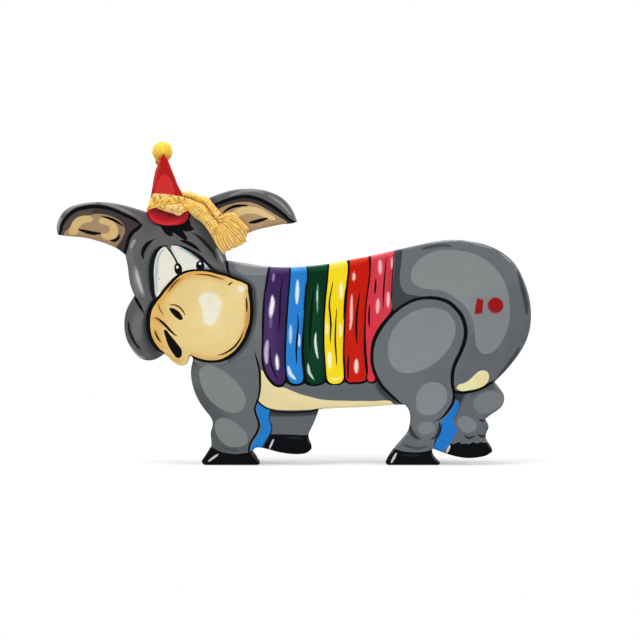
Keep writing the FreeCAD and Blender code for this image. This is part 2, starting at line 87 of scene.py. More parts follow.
def turn(a, b, c):
    u = (b[0] - a[0], b[1] - a[1])
    w = (c[0] - b[0], c[1] - b[1])
    return abs(math.degrees(math.atan2(u[0] * w[1] - u[1] * w[0], u[0] * w[0] + u[1] * w[1])))


def smooth(points, closed, step=1.1, corner=48.0):
    """A smooth line through the points, sharp where the drawing turns by more than corner degrees."""
    p = [tuple(map(float, q)) for q in points]
    if closed and math.dist(p[0], p[-1]) < 1e-6:
        p = p[:-1]
    n = len(p)
    if n < 3:
        return np.array(p)
    sharp = []
    for i in range(n):
        if not closed and i in (0, n - 1):
            sharp.append(True)
        else:
            sharp.append(turn(p[i - 1], p[i], p[(i + 1) % n]) > corner)

    def tangent(i, forward):
        a, b, c = np.array(p[i - 1]), np.array(p[i]), np.array(p[(i + 1) % n])
        if sharp[i]:
            return (c - b) / max(1e-9, np.linalg.norm(c - b)) if forward else (b - a) / max(1e-9, np.linalg.norm(b - a))
        da, dc = np.linalg.norm(b - a), np.linalg.norm(c - b)
        t = ((b - a) / max(da, 1e-9) * dc + (c - b) / max(dc, 1e-9) * da) / max(da + dc, 1e-9)
        return t

    out = []
    for i in range(n if closed else n - 1):
        a, b = np.array(p[i]), np.array(p[(i + 1) % n])
        d = np.linalg.norm(b - a)
        ta, tb = tangent(i, True) * d, tangent((i + 1) % n, False) * d
        k = max(1, int(math.ceil(d / step)))
        for j in range(k):
            s = j / k
            out.append(
                (2 * s**3 - 3 * s**2 + 1) * a + (s**3 - 2 * s**2 + s) * ta + (-2 * s**3 + 3 * s**2) * b + (s**3 - s**2) * tb
            )
    if not closed:
        out.append(np.array(p[-1]))
    return np.array(out)


def natural(points, step):
    """Natural cubic spline by chord length: the curve the CAD outline is interpolated with."""
    q = np.array(points, float)
    if len(q) == 2:
        k = max(1, int(np.linalg.norm(q[1] - q[0]) / step))
        return q[0] + (q[1] - q[0]) * np.linspace(0, 1, k + 1)[:, None]
    h = np.linalg.norm(np.diff(q, axis=0), axis=1)
    t = np.concatenate([[0], np.cumsum(h)])
    n = len(q)
    A = np.zeros((n, n))
    R = np.zeros((n, 2))
    A[0, 0] = A[-1, -1] = 1
    for i in range(1, n - 1):
        A[i, i - 1], A[i, i], A[i, i + 1] = h[i - 1], 2 * (h[i - 1] + h[i]), h[i]
        R[i] = 6 * ((q[i + 1] - q[i]) / h[i] - (q[i] - q[i - 1]) / h[i - 1])
    M = np.linalg.solve(A, R)
    s = np.linspace(0, t[-1], max(2, int(t[-1] / step)) + 1)
    i = np.clip(np.searchsorted(t, s, side="right") - 1, 0, n - 2)
    a, b = (t[i + 1] - s)[:, None], (s - t[i])[:, None]
    hi = h[i][:, None]
    return (
        M[i] * a**3 / (6 * hi)
        + M[i + 1] * b**3 / (6 * hi)
        + (q[i] / hi - M[i] * hi / 6) * a
        + (q[i + 1] / hi - M[i + 1] * hi / 6) * b
    )


def outline(spans, step=0.8):
    loop = []
    for _, points in spans:
        loop.extend(natural(points, step)[:-1])
    loop = np.array(loop)
    area = 0.5 * np.sum(loop[:, 0] * np.roll(loop[:, 1], -1) - np.roll(loop[:, 0], -1) * loop[:, 1])
    return loop if area > 0 else loop[::-1]


def winding(poly, pts):
    """Which pts lie inside poly (non-zero winding)."""
    res = np.zeros(len(pts), bool)
    lo, hi = poly.min(0), poly.max(0)
    near = np.where((pts[:, 0] >= lo[0]) & (pts[:, 0] <= hi[0]) & (pts[:, 1] >= lo[1]) & (pts[:, 1] <= hi[1]))[0]
    if not len(near):
        return res
    x, y = pts[near, 0], pts[near, 1]
    w = np.zeros(len(near), int)
    nxt = np.roll(poly, -1, axis=0)
    order = np.argsort(y)
    ys = y[order]
    for (x0, y0), (x1, y1) in zip(poly, nxt):
        if y0 == y1:
            continue
        lo_i, hi_i = np.searchsorted(ys, min(y0, y1)), np.searchsorted(ys, max(y0, y1))
        if lo_i == hi_i:
            continue
        k = order[lo_i:hi_i]
        cut = x0 + (y[k] - y0) * (x1 - x0) / (y1 - y0)
        w[k[x[k] < cut]] += 1 if y1 > y0 else -1
    res[near] = w != 0
    return res


def along(line, pts):
    """Distance from each point to the line and the place along it, 0 to 1."""
    seg = np.diff(line, axis=0)
    ln = np.maximum(np.linalg.norm(seg, axis=1), 1e-9)
    cum = np.concatenate([[0], np.cumsum(ln)])
    best = np.full(len(pts), 1e9)
    place = np.zeros(len(pts))
    for i in range(len(seg)):
        r = pts - line[i]
        s = np.clip(r @ seg[i] / ln[i] ** 2, 0, 1)
        d = np.linalg.norm(r - s[:, None] * seg[i], axis=1)
        m = d < best
        best[m] = d[m]
        place[m] = (cum[i] + s[m] * ln[i]) / cum[-1]
    return best, place


def ramp(x, a, b):
    t = np.clip((x - a) / (b - a), 0, 1)
    return t * t * (3 - 2 * t)


# ------------------------------------------------------------------ painting
class Painting:
    """Hand painting on a flat board: hard-edged fills and lines, then soft airbrush, in the order they are laid on."""

    def __init__(self):
        self.ops = []

    def fill(self, name, points, colour, soft_edge=False, corner=48.0, raw=False):
        pts = points if raw else art(points)
        poly = smooth(pts, True, corner=corner)
        self.ops.append(("fill", name, poly, lin(colour)))

    def line(self, points, width, colour=BLACK, taper=(0.3, 0.3), name="line", only=None, low=0.12):
        """A brush line: width (grid units, one or a list along the line), running out at its ends."""
        c = smooth(art(points), False, step=0.9)
        seg = np.linalg.norm(np.diff(c, axis=0), axis=1)
        t = np.concatenate([[0], np.cumsum(seg)]) / max(seg.sum(), 1e-9)
        if isinstance(width, (list, tuple)):
            w = np.interp(t, np.linspace(0, 1, len(width)), width)
        else:
            w = np.full(len(t), float(width))
        a, b = taper
        prof = np.ones(len(t))
        if a > 0:
            prof *= low + (1 - low) * np.sqrt(np.clip(t / a, 0, 1))
        if b > 0:
            prof *= low + (1 - low) * np.sqrt(np.clip((1 - t) / b, 0, 1))
        half = 0.625 * w * prof
        d = np.gradient(c, axis=0)
        d /= np.maximum(np.linalg.norm(d, axis=1), 1e-9)[:, None]
        nrm = np.stack([-d[:, 1], d[:, 0]], 1)
        left, right = c + nrm * half[:, None], c - nrm * half[:, None]
        tip0 = c[:1] - d[:1] * half[0]
        tip1 = c[-1:] + d[-1:] * half[-1]
        poly = np.concatenate([tip0, right, tip1, left[::-1]])
        self.ops.append(("fill", name, poly, lin(colour), only))

    def dab(self, x, y, rx, ry, colour, angle=0.0, name="dab"):
        a = math.radians(angle)
        n = max(14, int(6 * max(rx, ry)))
        pts = []
        for k in range(n):
            u, v = rx * math.cos(2 * math.pi * k / n), ry * math.sin(2 * math.pi * k / n)
            pts.append((x + u * math.cos(a) - v * math.sin(a), y + u * math.sin(a) + v * math.cos(a)))
        self.ops.append(("fill", name, np.array(art(pts)), lin(colour)))

    def mist(self, points, width, colour, strength=1.0, feather=0.6, only=None, lens=True, skip=None):
        """Airbrush along a line."""
        c = smooth(art(points), False, step=1.2)
        self.ops.append(("mist", c, 0.625 * width, lin(colour), strength, feather, only, lens, skip))

    def cloud(self, x, y, rx, ry, colour, strength=1.0, feather=0.5, angle=0.0, only=None, skip=None):
        """Airbrush in an oval."""
        (cx, cz), = art([(x, y)])
        self.ops.append(("cloud", (cx, cz), rx * 1.25, ry * 1.25, math.radians(-angle), lin(colour), strength, feather, only, skip))

    def wash(self, points, colour, strength=1.0, feather=4.0, only=None, skip=None):
        """Airbrush over an area: strength falls off over feather grid units each side of its edge."""
        poly = smooth(art(points), True, step=3.0)
        self.ops.append(("wash", poly, lin(colour), strength, feather * 1.25, only, skip))

    def lines(self):
        return [op[2] for op in self.ops if op[0] == "fill"]

    def extra(self):
        """Points that the soft work needs, so that its fall-off is drawn finely enough."""
        pts = []
        for op in self.ops:
            if op[0] == "mist" and op[2] < 4.5:
                c, half = op[1], op[2]
                d = np.gradient(c, axis=0)
                d /= np.maximum(np.linalg.norm(d, axis=1), 1e-9)[:, None]
                nrm = np.stack([-d[:, 1], d[:, 0]], 1)
                for k in (-1.55, -1.15, -0.75, -0.35, 0, 0.35, 0.75, 1.15, 1.55):
                    pts.append(c + nrm * (half * k))
            if op[0] == "cloud" and min(op[2], op[3]) < 9:
                (cx, cz), rx, ry, a = op[1:5]
                for k in (0.0, 0.35, 0.65, 0.9, 1.15, 1.4):
                    n = max(1, int(2 * math.pi * k * max(rx, ry) / 1.2))
                    t = np.arange(n) * 2 * math.pi / n
                    u, v = rx * k * np.cos(t), ry * k * np.sin(t)
                    pts.append(np.stack([cx + u * math.cos(a) - v * math.sin(a), cz + u * math.sin(a) + v * math.cos(a)], 1))
        return np.concatenate(pts) if pts else np.zeros((0, 2))

    def paint(self, verts, tris, base):
        cent = verts[tris].mean(1)
        col = np.tile(lin(base), (len(tris), 3, 1))
        label = np.array(["ground"] * len(tris), dtype="U24")
        for op in self.ops:
            if op[0] == "fill":
                m = winding(op[2], cent)
                if len(op) > 4 and op[4] is not None:
                    m &= np.isin(label, op[4])
                col[m] = op[3]
                label[m] = op[1]
                continue
            alpha = np.zeros(len(verts))
            if op[0] == "mist":
                _, c, half, colour, strength, feather, only, lens, skip = op
                reach = half * (1 + feather) + 0.5
                near = np.where(
                    (verts[:, 0] > c[:, 0].min() - reach) & (verts[:, 0] < c[:, 0].max() + reach)
                    & (verts[:, 1] > c[:, 1].min() - reach) & (verts[:, 1] < c[:, 1].max() + reach)
                )[0]
                if not len(near):
                    continue
                d, t = along(c, verts[near])
                h = half * (np.sqrt(np.clip(np.sin(math.pi * np.clip(t, 0, 1)), 0, 1)) * 0.88 + 0.12) if lens else np.full(len(t), half)
                alpha[near] = strength * (1 - ramp(d, h * (1 - feather), h * (1 + feather) + 0.05))
            elif op[0] == "cloud":
                _, (cx, cz), rx, ry, a, colour, strength, feather, only, skip = op
                u, v = verts[:, 0] - cx, verts[:, 1] - cz
                p = (u * math.cos(a) + v * math.sin(a)) / rx
                q = (-u * math.sin(a) + v * math.cos(a)) / ry
                alpha = strength * (1 - ramp(np.hypot(p, q), 1 - feather, 1 + feather))
            else:
                _, poly, colour, strength, feather, only, skip = op
                lo, hi = poly.min(0) - feather, poly.max(0) + feather
                near = np.where((verts > lo).all(1) & (verts < hi).all(1))[0]
                if not len(near):
                    continue
                d, _t = along(np.concatenate([poly, poly[:1]]), verts[near])
                d[winding(poly, verts[near])] *= -1
                alpha[near] = strength * (1 - ramp(d, -feather, feather))
            m = np.ones(len(tris), bool)
            if only is not None:
                m &= np.isin(label, only)
            if skip is not None:
                m &= ~np.isin(label, skip)
            k = np.where(m)[0]
            al = alpha[tris[k]][..., None]
            col[k] = col[k] * (1 - al) + colour * al
        return col, label


def painted_board(name, loop, art_work, base, y_front, y_back, rim_rad, grid, core):
    """A board cut to loop, its front edge eased, with the painting on its face and edge. One closed mesh."""
    loop = np.asarray(loop)
    m = len(loop)
    pts = [loop]
    edges = [(i, (i + 1) % m) for i in range(m)]
    at = m
    for poly in art_work.lines():
        pts.append(poly)
        k = len(poly)
        edges += [(at + i, at + (i + 1) % k) for i in range(k)]
        at += k
    tree = kdtree.KDTree(m)
    for i, (x, z) in enumerate(loop):
        tree.insert((x, z, 0), i)
    tree.balance()
    nxt, prv = np.roll(loop, -1, 0), np.roll(loop, 1, 0)
    tan = nxt - prv
    tan /= np.maximum(np.linalg.norm(tan, axis=1), 1e-9)[:, None]
    inward = np.stack([-tan[:, 1], tan[:, 0]], 1)
    rows = []
    for frac in (0.07, 0.2, 0.38, 0.62, 0.98):
        d = frac * rim_rad
        cand = loop + inward * d
        keep = [tree.find((x, z, 0))[2] > 0.93 * d for x, z in cand]
        rows.append(cand[keep])
    rows = np.concatenate(rows)
    soft = art_work.extra()
    special = np.concatenate([rows, soft])
    special = special[winding(loop, special)]
    lo, hi = loop.min(0), loop.max(0)
    gx = np.arange(lo[0], hi[0], grid)
    gz = np.arange(lo[1], hi[1], grid * 0.866)
    X, Z = np.meshgrid(gx, gz)
    X[1::2] += grid / 2
    hexes = np.stack([X.ravel(), Z.ravel()], 1)
    hexes = hexes[winding(loop, hexes)]
    cell = 0.62
    taken = set()
    for x, z in np.concatenate([special, *pts]):
        i, j = int(x // cell), int(z // cell)
        for a in (-1, 0, 1):
            for b in (-1, 0, 1):
                taken.add((i + a, j + b))
    hexes = np.array([h for h in hexes if (int(h[0] // cell), int(h[1] // cell)) not in taken])
    pts.append(special)
    pts.append(hexes)
    cloud = np.concatenate(pts)
    vs, _e, fs, _ov, _oe, _of = delaunay_2d_cdt([Vector(p) for p in cloud], edges, [], 0, 1e-4, False)
    V = np.array([(v[0], v[1]) for v in vs])
    T = np.array([f for f in fs if len(f) == 3])
    a, b, c = V[T[:, 0]], V[T[:, 1]], V[T[:, 2]]
    area = (b[:, 0] - a[:, 0]) * (c[:, 1] - a[:, 1]) - (c[:, 0] - a[:, 0]) * (b[:, 1] - a[:, 1])
    T[area < 0] = T[area < 0][:, ::-1]
    T = T[np.abs(area) > 1e-9]
    T = T[winding(loop, V[T].mean(1))]
    used = np.unique(T)
    remap = -np.ones(len(V), int)
    remap[used] = np.arange(len(used))
    V, T = V[used], remap[T]
    col, label = art_work.paint(V, T, base)
    # height of the face: eased towards the outline
    dist = np.full(len(V), 99.0)
    segs = loop, nxt
    for i, (x, z) in enumerate(V):
        _co, k, d = tree.find((x, z, 0))
        if d < rim_rad + 1.5:
            p = np.array((x, z))
            best = d
            for s in (k - 1, k):
                q0, q1 = loop[s], loop[(s + 1) % m]
                e = q1 - q0
                t = min(1, max(0, float((p - q0) @ e) / max(float(e @ e), 1e-12)))
                best = min(best, float(np.linalg.norm(p - q0 - t * e)))
            dist[i] = best
    dd = np.clip(rim_rad - dist, 0, rim_rad)
    Y = y_front + rim_rad - np.sqrt(np.maximum(rim_rad**2 - dd**2, 0))
    # the cut edge and the raw back
    pairs = {}
    for t, (i, j, k) in enumerate(T):
        for u, v, corner in ((i, j, (t, 0, 1)), (j, k, (t, 1, 2)), (k, i, (t, 2, 0))):
            pairs[(u, v)] = corner
    rim = {u: (v, cr) for (u, v), cr in pairs.items() if (v, u) not in pairs}
    n = len(V)
    ring = sorted(rim)
    back_of = {u: n + i for i, u in enumerate(ring)}
    co = np.concatenate([np.stack([V[:, 0], Y, V[:, 1]], 1), np.array([(V[u, 0], y_back, V[u, 1]) for u in ring])]) * MM
    faces = [tuple(t) for t in T]
    cols = [col[i] for i in range(len(T))]
    for u, (v, (t, a, b)) in rim.items():
        faces.append((v, u, back_of[u], back_of[v]))
        ca, cb = col[t, a], col[t, b]
        cols.append(np.array([cb, ca, ca * 0.92, cb * 0.92]))
    seen = set()
    for start in ring:
        if start in seen:
            continue
        walk, u = [], start
        while u not in seen:
            seen.add(u)
            walk.append(back_of[u])
            u = rim[u][0]
        faces.append(tuple(walk[::-1]))
        cols.append(np.tile(lin(core), (len(walk), 1)))
    me = bpy.data.meshes.new(name)
    me.from_pydata([tuple(p) for p in co], [], faces)
    attr = me.color_attributes.new("paint", "FLOAT_COLOR", "CORNER")
    flat = np.concatenate([np.asarray(c, float).reshape(-1, 3) for c in cols])
    attr.data.foreach_set("color", np.concatenate([flat, np.ones((len(flat), 1))], 1).astype(np.float32).ravel())
    smooth_flags = np.ones(len(faces), bool)
    smooth_flags[len(T):] = False
    me.polygons.foreach_set("use_smooth", smooth_flags)
    me.update()
    ob = bpy.data.objects.new(name, me)
    bpy.context.scene.collection.objects.link(ob)
    return ob, label

# ------------------------------------------------------------------ outlines, as in the CAD
BOARD = [
    ("crown_to_left_ear_tip", [(-185, 316.9), (-208.9, 324.1), (-229.7, 328.2), (-248.5, 329.3), (-266, 327.2), (-280.5, 322.8), (-289.1, 316.5), (-294.4, 307.3), (-296.9, 295.8), (-294.9, 288.1)]),
    ("left_ear_underside", [(-294.9, 288.1), (-282.4, 286.5), (-264.6, 284.9), (-248.1, 281.3), (-231.5, 275.6), (-218.9, 269.4), (-210.9, 262.8)]),
    ("forehead_and_face", [(-210.9, 262.8), (-207.8, 246.7), (-204.8, 226.2), (-199.5, 212.2)]),
    ("cheek_and_jaw", [(-199.5, 212.2), (-208.7, 196.3), (-212.3, 177.3), (-209.6, 158.4), (-200.9, 142.2), (-189.5, 132.5), (-177.7, 131.1), (-162.2, 139.2)]),
    ("lower_lip", [(-162.2, 139.2), (-158.5, 136.3), (-150.9, 129.1), (-144.1, 125.2), (-138.3, 124.6), (-134.2, 126.5), (-131.6, 131.9), (-129.4, 137.1)]),
    ("near_front_leg_front", [(-129.4, 137.1), (-126.9, 134.2), (-127.4, 127), (-128.9, 115.4), (-127.4, 102.7), (-123.4, 89.5), (-117.3, 77.5), (-107.9, 64.8), (-102.6, 56.7), (-101.8, 50.1), (-104.1, 40.6), (-103.6, 32.2), (-103.2, 24.4)]),
    ("near_front_toe", [(-103.2, 24.4), (-108, 16.8), (-113.4, 8.6), (-115.2, 4.8), (-114.4, 2.1), (-111.1, 0)]),
    ("near_front_sole", [(-111.1, 0), (-45.5, 0)]),
    ("near_front_heel", [(-45.5, 0), (-43, 1.7), (-42.8, 4.1), (-44.6, 7.4), (-49.5, 12.7), (-51.8, 17.8)]),
    ("far_front_sole", [(-51.8, 17.8), (-47.9, 21.2), (-40.6, 21.5), (-22.8, 17), (-5.8, 14), (8.9, 13.7), (17.3, 15.9), (22.3, 20.5)]),
    ("far_front_pastern", [(22.3, 20.5), (21.9, 25.9), (18.7, 34.5), (18.6, 39.8)]),
    ("far_front_leg_back", [(18.6, 39.8), (25.7, 54.4), (31.4, 69.8)]),
    ("belly", [(31.4, 69.8), (50.3, 71.1), (74.9, 72.1), (100.9, 73.4), (123.5, 75.3), (138.9, 75.5)]),
    ("near_hind_leg_front", [(138.9, 75.5), (142.9, 70.9), (145.5, 62.3), (145.4, 52.8), (142.2, 40.8)]),
    ("near_hind_toe", [(142.2, 40.8), (129.1, 26), (119.8, 14), (115.9, 6.8), (115, 3.1), (116.1, 0.9), (118.8, 0)]),
    ("near_hind_sole", [(118.8, 0), (180.6, 0)]),
    ("near_hind_heel", [(180.6, 0), (182.7, 1.4), (182.9, 3.1), (180.9, 5.6), (175.9, 11), (173.3, 17), (173.7, 20.5)]),
    ("far_hind_sole", [(173.7, 20.5), (188.6, 14.9), (205.5, 10.1), (218.5, 8.6), (232.1, 9.7), (242.9, 12.8), (248.4, 16.8)]),
    ("far_hind_pastern", [(248.4, 16.8), (247.5, 21.6), (242.9, 29.2), (240.1, 35.1)]),
    ("far_hind_knob", [(240.1, 35.1), (241, 40), (243.7, 46.8), (242.9, 51.6), (239.8, 57.7)]),
    ("far_hind_hock", [(239.8, 57.7), (247.1, 63.4), (256.9, 70.2), (261.7, 76.2), (263.3, 82.4), (262.2, 89.2), (257.9, 95.9), (251.2, 104.1)]),
    ("rump_back_and_saddle", [(251.2, 104.1), (266, 119.3), (278.2, 134.2), (287.4, 148.4), (293.1, 161.9), (296.2, 176.3), (296.8, 191.9), (294.9, 208.2), (290.4, 224.6), (283.6, 240.5), (276.2, 252.5), (266.9, 261.7), (254.9, 269.5), (240.4, 275.6), (224, 279.6), (206.2, 281.6), (188.6, 281.4), (170.3, 278.8), (146.3, 273.3), (119.2, 267.1), (94, 261.4), (69.3, 256.7), (44.7, 252.1), (24.2, 249.4), (0.8, 247.7), (-19.5, 247.5), (-40, 249.3), (-63.1, 253), (-83.9, 256)]),
    ("nape", [(-83.9, 256), (-85.6, 262.6), (-87.7, 270.2), (-85.6, 278.4), (-79.8, 285.2), (-69.8, 289.4), (-56.5, 290.8)]),
    ("right_ear_underside", [(-56.5, 290.8), (-45.1, 294.9), (-30.1, 298.3), (-12.1, 301.7), (-0.3, 303.1), (4.1, 304.9)]),
    ("right_ear_top", [(4.1, 304.9), (-1.8, 319.3), (-12, 331.9), (-25.5, 340.1), (-43.3, 344.8), (-64.9, 345.6), (-83.6, 342.5), (-105.4, 334.7)]),
    ("behind_scarf", [(-105.4, 334.7), (-108.5, 327.8), (-116, 320.9), (-126.6, 316.6)]),
    ("under_hat", [(-126.6, 316.6), (-185, 316.9)]),
]
BOX = [
    ("crown", [(-179.1, 309.6), (-150.4, 310.9), (-121.6, 310.9)]),
    ("nape", [(-121.6, 310.9), (-111.6, 295.9), (-101.6, 278.4), (-94.1, 264.6), (-89.1, 250.2)]),
    ("saddle", [(-89.1, 250.2), (-71.6, 248), (-51.6, 245.1), (-31.6, 242.8), (-10.4, 242.1), (5.9, 242.1), (22.1, 242.1), (37.1, 242.1), (47.1, 242.8), (55.9, 244.6), (64.6, 248.1)]),
    ("rump", [(64.6, 248.1), (95.9, 255.9), (133.4, 264.6), (170.9, 272.6), (198.4, 275.4), (225.9, 273.4), (252.1, 264.6), (270.9, 251.1), (283.4, 230.9), (290, 209.6), (291.1, 188.4), (287.1, 164.6), (275.9, 142.1), (262.1, 123.4), (245.9, 105.2)]),
    ("hock", [(245.9, 105.2), (253.4, 94.6), (257.7, 83.4), (254.6, 74.6), (244, 66.5), (234, 57.1)]),
    ("far_hind_pastern", [(234, 57.1), (237.5, 47.7), (234.6, 34.6), (240.2, 20.9)]),
    ("far_hind_sole", [(240.2, 20.9), (230.9, 15.4), (218.4, 14), (204.6, 15.6), (188.4, 20.2), (169.6, 25.9)]),
    ("near_hind_heel", [(169.6, 25.9), (169.1, 17.7), (172.1, 9.6), (176.5, 0)]),
    ("near_hind_sole", [(176.5, 0), (123.4, 0)]),
    ("near_hind_leg", [(123.4, 0), (122.7, 4.6), (126.5, 12.1), (135.9, 24), (146.5, 37.7), (150.4, 50.9), (150.4, 64), (146.5, 80.2)]),
    ("belly", [(146.5, 80.2), (123.4, 80.2), (100.9, 78.4), (74.6, 77.1), (49.6, 76), (28.4, 74.9)]),
    ("far_front_leg", [(28.4, 74.9), (20.9, 55.9), (13.7, 40.2), (14.1, 33.4), (16.9, 25.2), (16.5, 20.2)]),
    ("far_front_sole", [(16.5, 20.2), (7.1, 18.8), (-6.6, 19.4), (-22.9, 22.3), (-39.1, 26.4), (-56.6, 26.9)]),
    ("near_front_heel", [(-56.6, 26.9), (-56.6, 18.4), (-53.5, 10.9), (-48.8, 4), (-48.1, 0)]),
    ("near_front_sole", [(-48.1, 0), (-109.1, 0)]),
    ("near_front_leg", [(-109.1, 0), (-108.3, 5.9), (-103.5, 14), (-98.5, 23.4), (-98.6, 32.1), (-98.9, 40.9), (-96.9, 49.6), (-97.9, 58.4), (-103.5, 67.7), (-112.9, 80.2), (-118.8, 91.5), (-122.7, 103.4), (-123.9, 115.4), (-122.9, 127.1), (-122.7, 140.9)]),
    ("chin", [(-122.7, 140.9), (-142.9, 142.9), (-162.3, 144.4)]),
    ("cheek", [(-162.3, 144.4), (-170.4, 139.4), (-179.1, 136.2), (-187.9, 137.4), (-196.9, 145.4), (-204.5, 159.6), (-207.2, 177.1), (-203.9, 194), (-194.1, 211.7)]),
    ("face", [(-194.1, 211.7), (-199.7, 227.1), (-202.7, 245.9), (-204.1, 263.4), (-201.6, 280.9), (-192.9, 297.1), (-179.1, 309.6)]),
]
HAT = [
    ("left_side", [(-162.5, 389.2), (-166.6, 384.2), (-169.5, 377.1), (-172.7, 368.4), (-175.4, 355.9), (-178.1, 339.6), (-180.8, 327.1), (-182.8, 317.1)]),
    ("brim", [(-182.8, 317.1), (-181.2, 310.1), (-176.9, 304.6), (-170.4, 301.5), (-160.4, 299.6), (-148.4, 299.9), (-138.2, 302.2), (-133.4, 306.6), (-131.2, 312.1), (-130.6, 316.6)]),
    ("right_side", [(-130.6, 316.6), (-131.8, 327.1), (-136.1, 335.9), (-140.4, 342.1), (-143.8, 347.8), (-147.2, 355.9), (-150.6, 364.6), (-153.9, 372.8), (-156.9, 380.5), (-162.5, 389.2)]),
]

WORLD_FILL = 0.12
LIGHT = 0.83

# ------------------------------------------------------------------ the donkey, as painted
P = Painting()
HEAD, BODY, LEG = (99, 99, 101), (103, 106, 110), (97, 101, 104)

# body, neck and saddle ground
P.fill("body", [(200, 236), (560, 226), (560, 480), (180, 480), (180, 360), (215, 300)], BODY)
P.wash([(229, 262), (268, 268), (264, 300), (261, 352), (252, 352), (232, 362), (214, 363), (236, 350), (250, 330), (254, 300), (250, 284)], (113, 116, 119), 0.9, 5)
P.fill("neck_light", [(222, 252), (226.5, 262), (235.5, 264), (235.8, 268), (238.5, 271.5), (242, 274), (246, 275), (255, 275.2), (268, 275), (272, 262), (255, 256)], (131, 133, 135))
P.wash([(262, 386), (330, 384), (392, 384), (404, 396), (402, 412), (262, 412)], (95, 99, 102), 0.8, 6, only=["body"])
P.fill("rump", [(402.5, 236), (560, 226), (560, 392), (494.5, 381), (490, 383.5), (485, 386.5), (478, 389.5), (470, 391.5), (462, 392.5), (455, 391.5), (440, 380), (420, 330), (409, 294.5), (404, 292), (401, 287), (399.8, 280), (401, 265)], (106, 110, 114), corner=60)
P.wash([(508, 285), (532, 285), (534, 345), (500, 352)], (84, 90, 95), 0.42, 9, only=["rump"])
P.wash([(468, 330), (500, 352), (522, 330), (540, 300), (545, 380), (500, 400), (455, 400), (456, 372), (466, 345)], (93, 97, 103), 0.75, 8, only=["rump"])
P.fill("rump_light", [(411, 277), (411.3, 272), (413, 267), (416, 262.5), (420, 259), (424, 256), (430, 252.8), (437, 250.8), (445, 249.8), (455, 250), (463, 251.2), (471, 253), (478, 255.5), (484, 258.8), (490, 263), (495.5, 268.5), (500, 274), (503.5, 280), (506, 286), (508, 293), (509.3, 303), (509.8, 313), (508.7, 323), (506, 332.5), (502, 341), (497, 348), (491.5, 352.5), (486, 354), (481, 352.5), (477.5, 348.5), (475.5, 342), (474.8, 334), (474, 325), (471.5, 317), (467.5, 309.5), (461.5, 302.5), (456, 298.5), (451, 294.8), (444, 291.5), (437, 289.6), (430, 289.2), (424, 288.5), (418, 286.5), (414, 284), (411.5, 280.5)], (134, 138, 139))
P.wash([(470, 300), (515, 290), (515, 360), (470, 360)], (125, 129, 132), 0.8, 14, only=["rump_light"])
P.mist([(421, 249.5), (428, 247.5), (436, 246), (446, 245.5), (452, 246.5)], 3, (66, 69, 72), 0.9, 0.7)
P.mist([(518, 270), (521, 282), (523.5, 292), (526, 303), (527, 315)], 4.4, (56, 58, 61), 0.9, 0.7)
P.mist([(520, 347), (513, 358), (505, 369), (497, 378)], 4, (58, 60, 64), 0.9, 0.8)
# painted highlight along the rump's top edge: the shine of the glossy eased edge, over the artwork's own airbrushed
# light
P.mist([(415, 245.5), (424, 243.5), (436, 242), (446, 240.8), (458, 240.6)], 1.6, (176, 178, 180), 0.7, 0.8)
P.mist([(463, 241), (471, 242), (478, 244.5), (492, 248.5)], 1.4, (170, 172, 174), 0.65, 0.8)
P.mist([(500, 253), (505, 257), (511, 263)], 1.4, (170, 172, 174), 0.65, 0.8)

# cream belly and what lies below it
P.fill("belly_dark", [(257.5, 400.5), (261, 405), (267, 408.8), (274, 411), (285, 412), (300, 411.8), (312, 410.8), (322, 409), (322, 414), (300, 416.5), (280, 417), (268, 415)], (50, 55, 57))
P.fill("cream_belly", [(259.8, 370.5), (262, 370.2), (264.5, 373), (267, 378), (270, 381.5), (275, 385), (281, 387.3), (284, 387.5), (290, 390), (300, 394), (310, 396.8), (320, 399.2), (330, 400.3), (345, 400.8), (360, 401), (375, 401), (388, 400.6), (390.5, 401), (392.5, 403), (396, 404.8), (396, 412), (318, 413), (318, 408.5), (312, 409.5), (300, 410), (285, 410), (275, 409.3), (268, 407.5), (262, 404), (258.7, 400.5), (259, 395), (260, 388), (260.3, 380), (259.8, 372)], (229, 214, 163))
P.wash([(259, 376), (272, 392), (290, 400), (310, 404), (310, 412), (262, 408), (257, 398)], (222, 204, 148), 0.55, 5, only=["cream_belly"])

# far front leg
P.fill("far_front", [(268, 410), (275, 411), (290, 412.2), (312, 411), (322, 408), (322, 480), (262, 480), (262, 448), (265, 443), (267.5, 438.5), (270, 434), (271.3, 430), (271.3, 426), (269.7, 422), (269, 418), (269.5, 414)], (94, 99, 104))
P.wash([(268, 409), (320, 407), (320, 414.5), (300, 416), (268, 416.5)], (48, 53, 55), 0.95, 1.6, only=["far_front"])
P.fill("hoof", [(270, 434.3), (280, 434.2), (292, 434.6), (308, 434.8), (312, 434), (322, 440), (322, 470), (255, 470), (258, 452), (263, 448.5), (265, 445), (268, 440)], (8, 9, 12), corner=30)
P.line([(257.5, 400.5), (261, 405), (267, 408.8), (274, 411), (285, 412), (300, 411.8), (312, 410.8), (319.5, 408.8)], 1.9, taper=(0.05, 0.05))
P.dab(271.4, 444, 0.99, 5.60, (198, 202, 214), 24, "dash")
P.line([(269.6, 415), (269.6, 422)], 1.1, taper=(0.2, 0.3))
P.mist([(286, 437.5), (296, 437.8), (303, 438.2)], 1.6, (46, 50, 58), 0.55, 0.9, only=["hoof"])

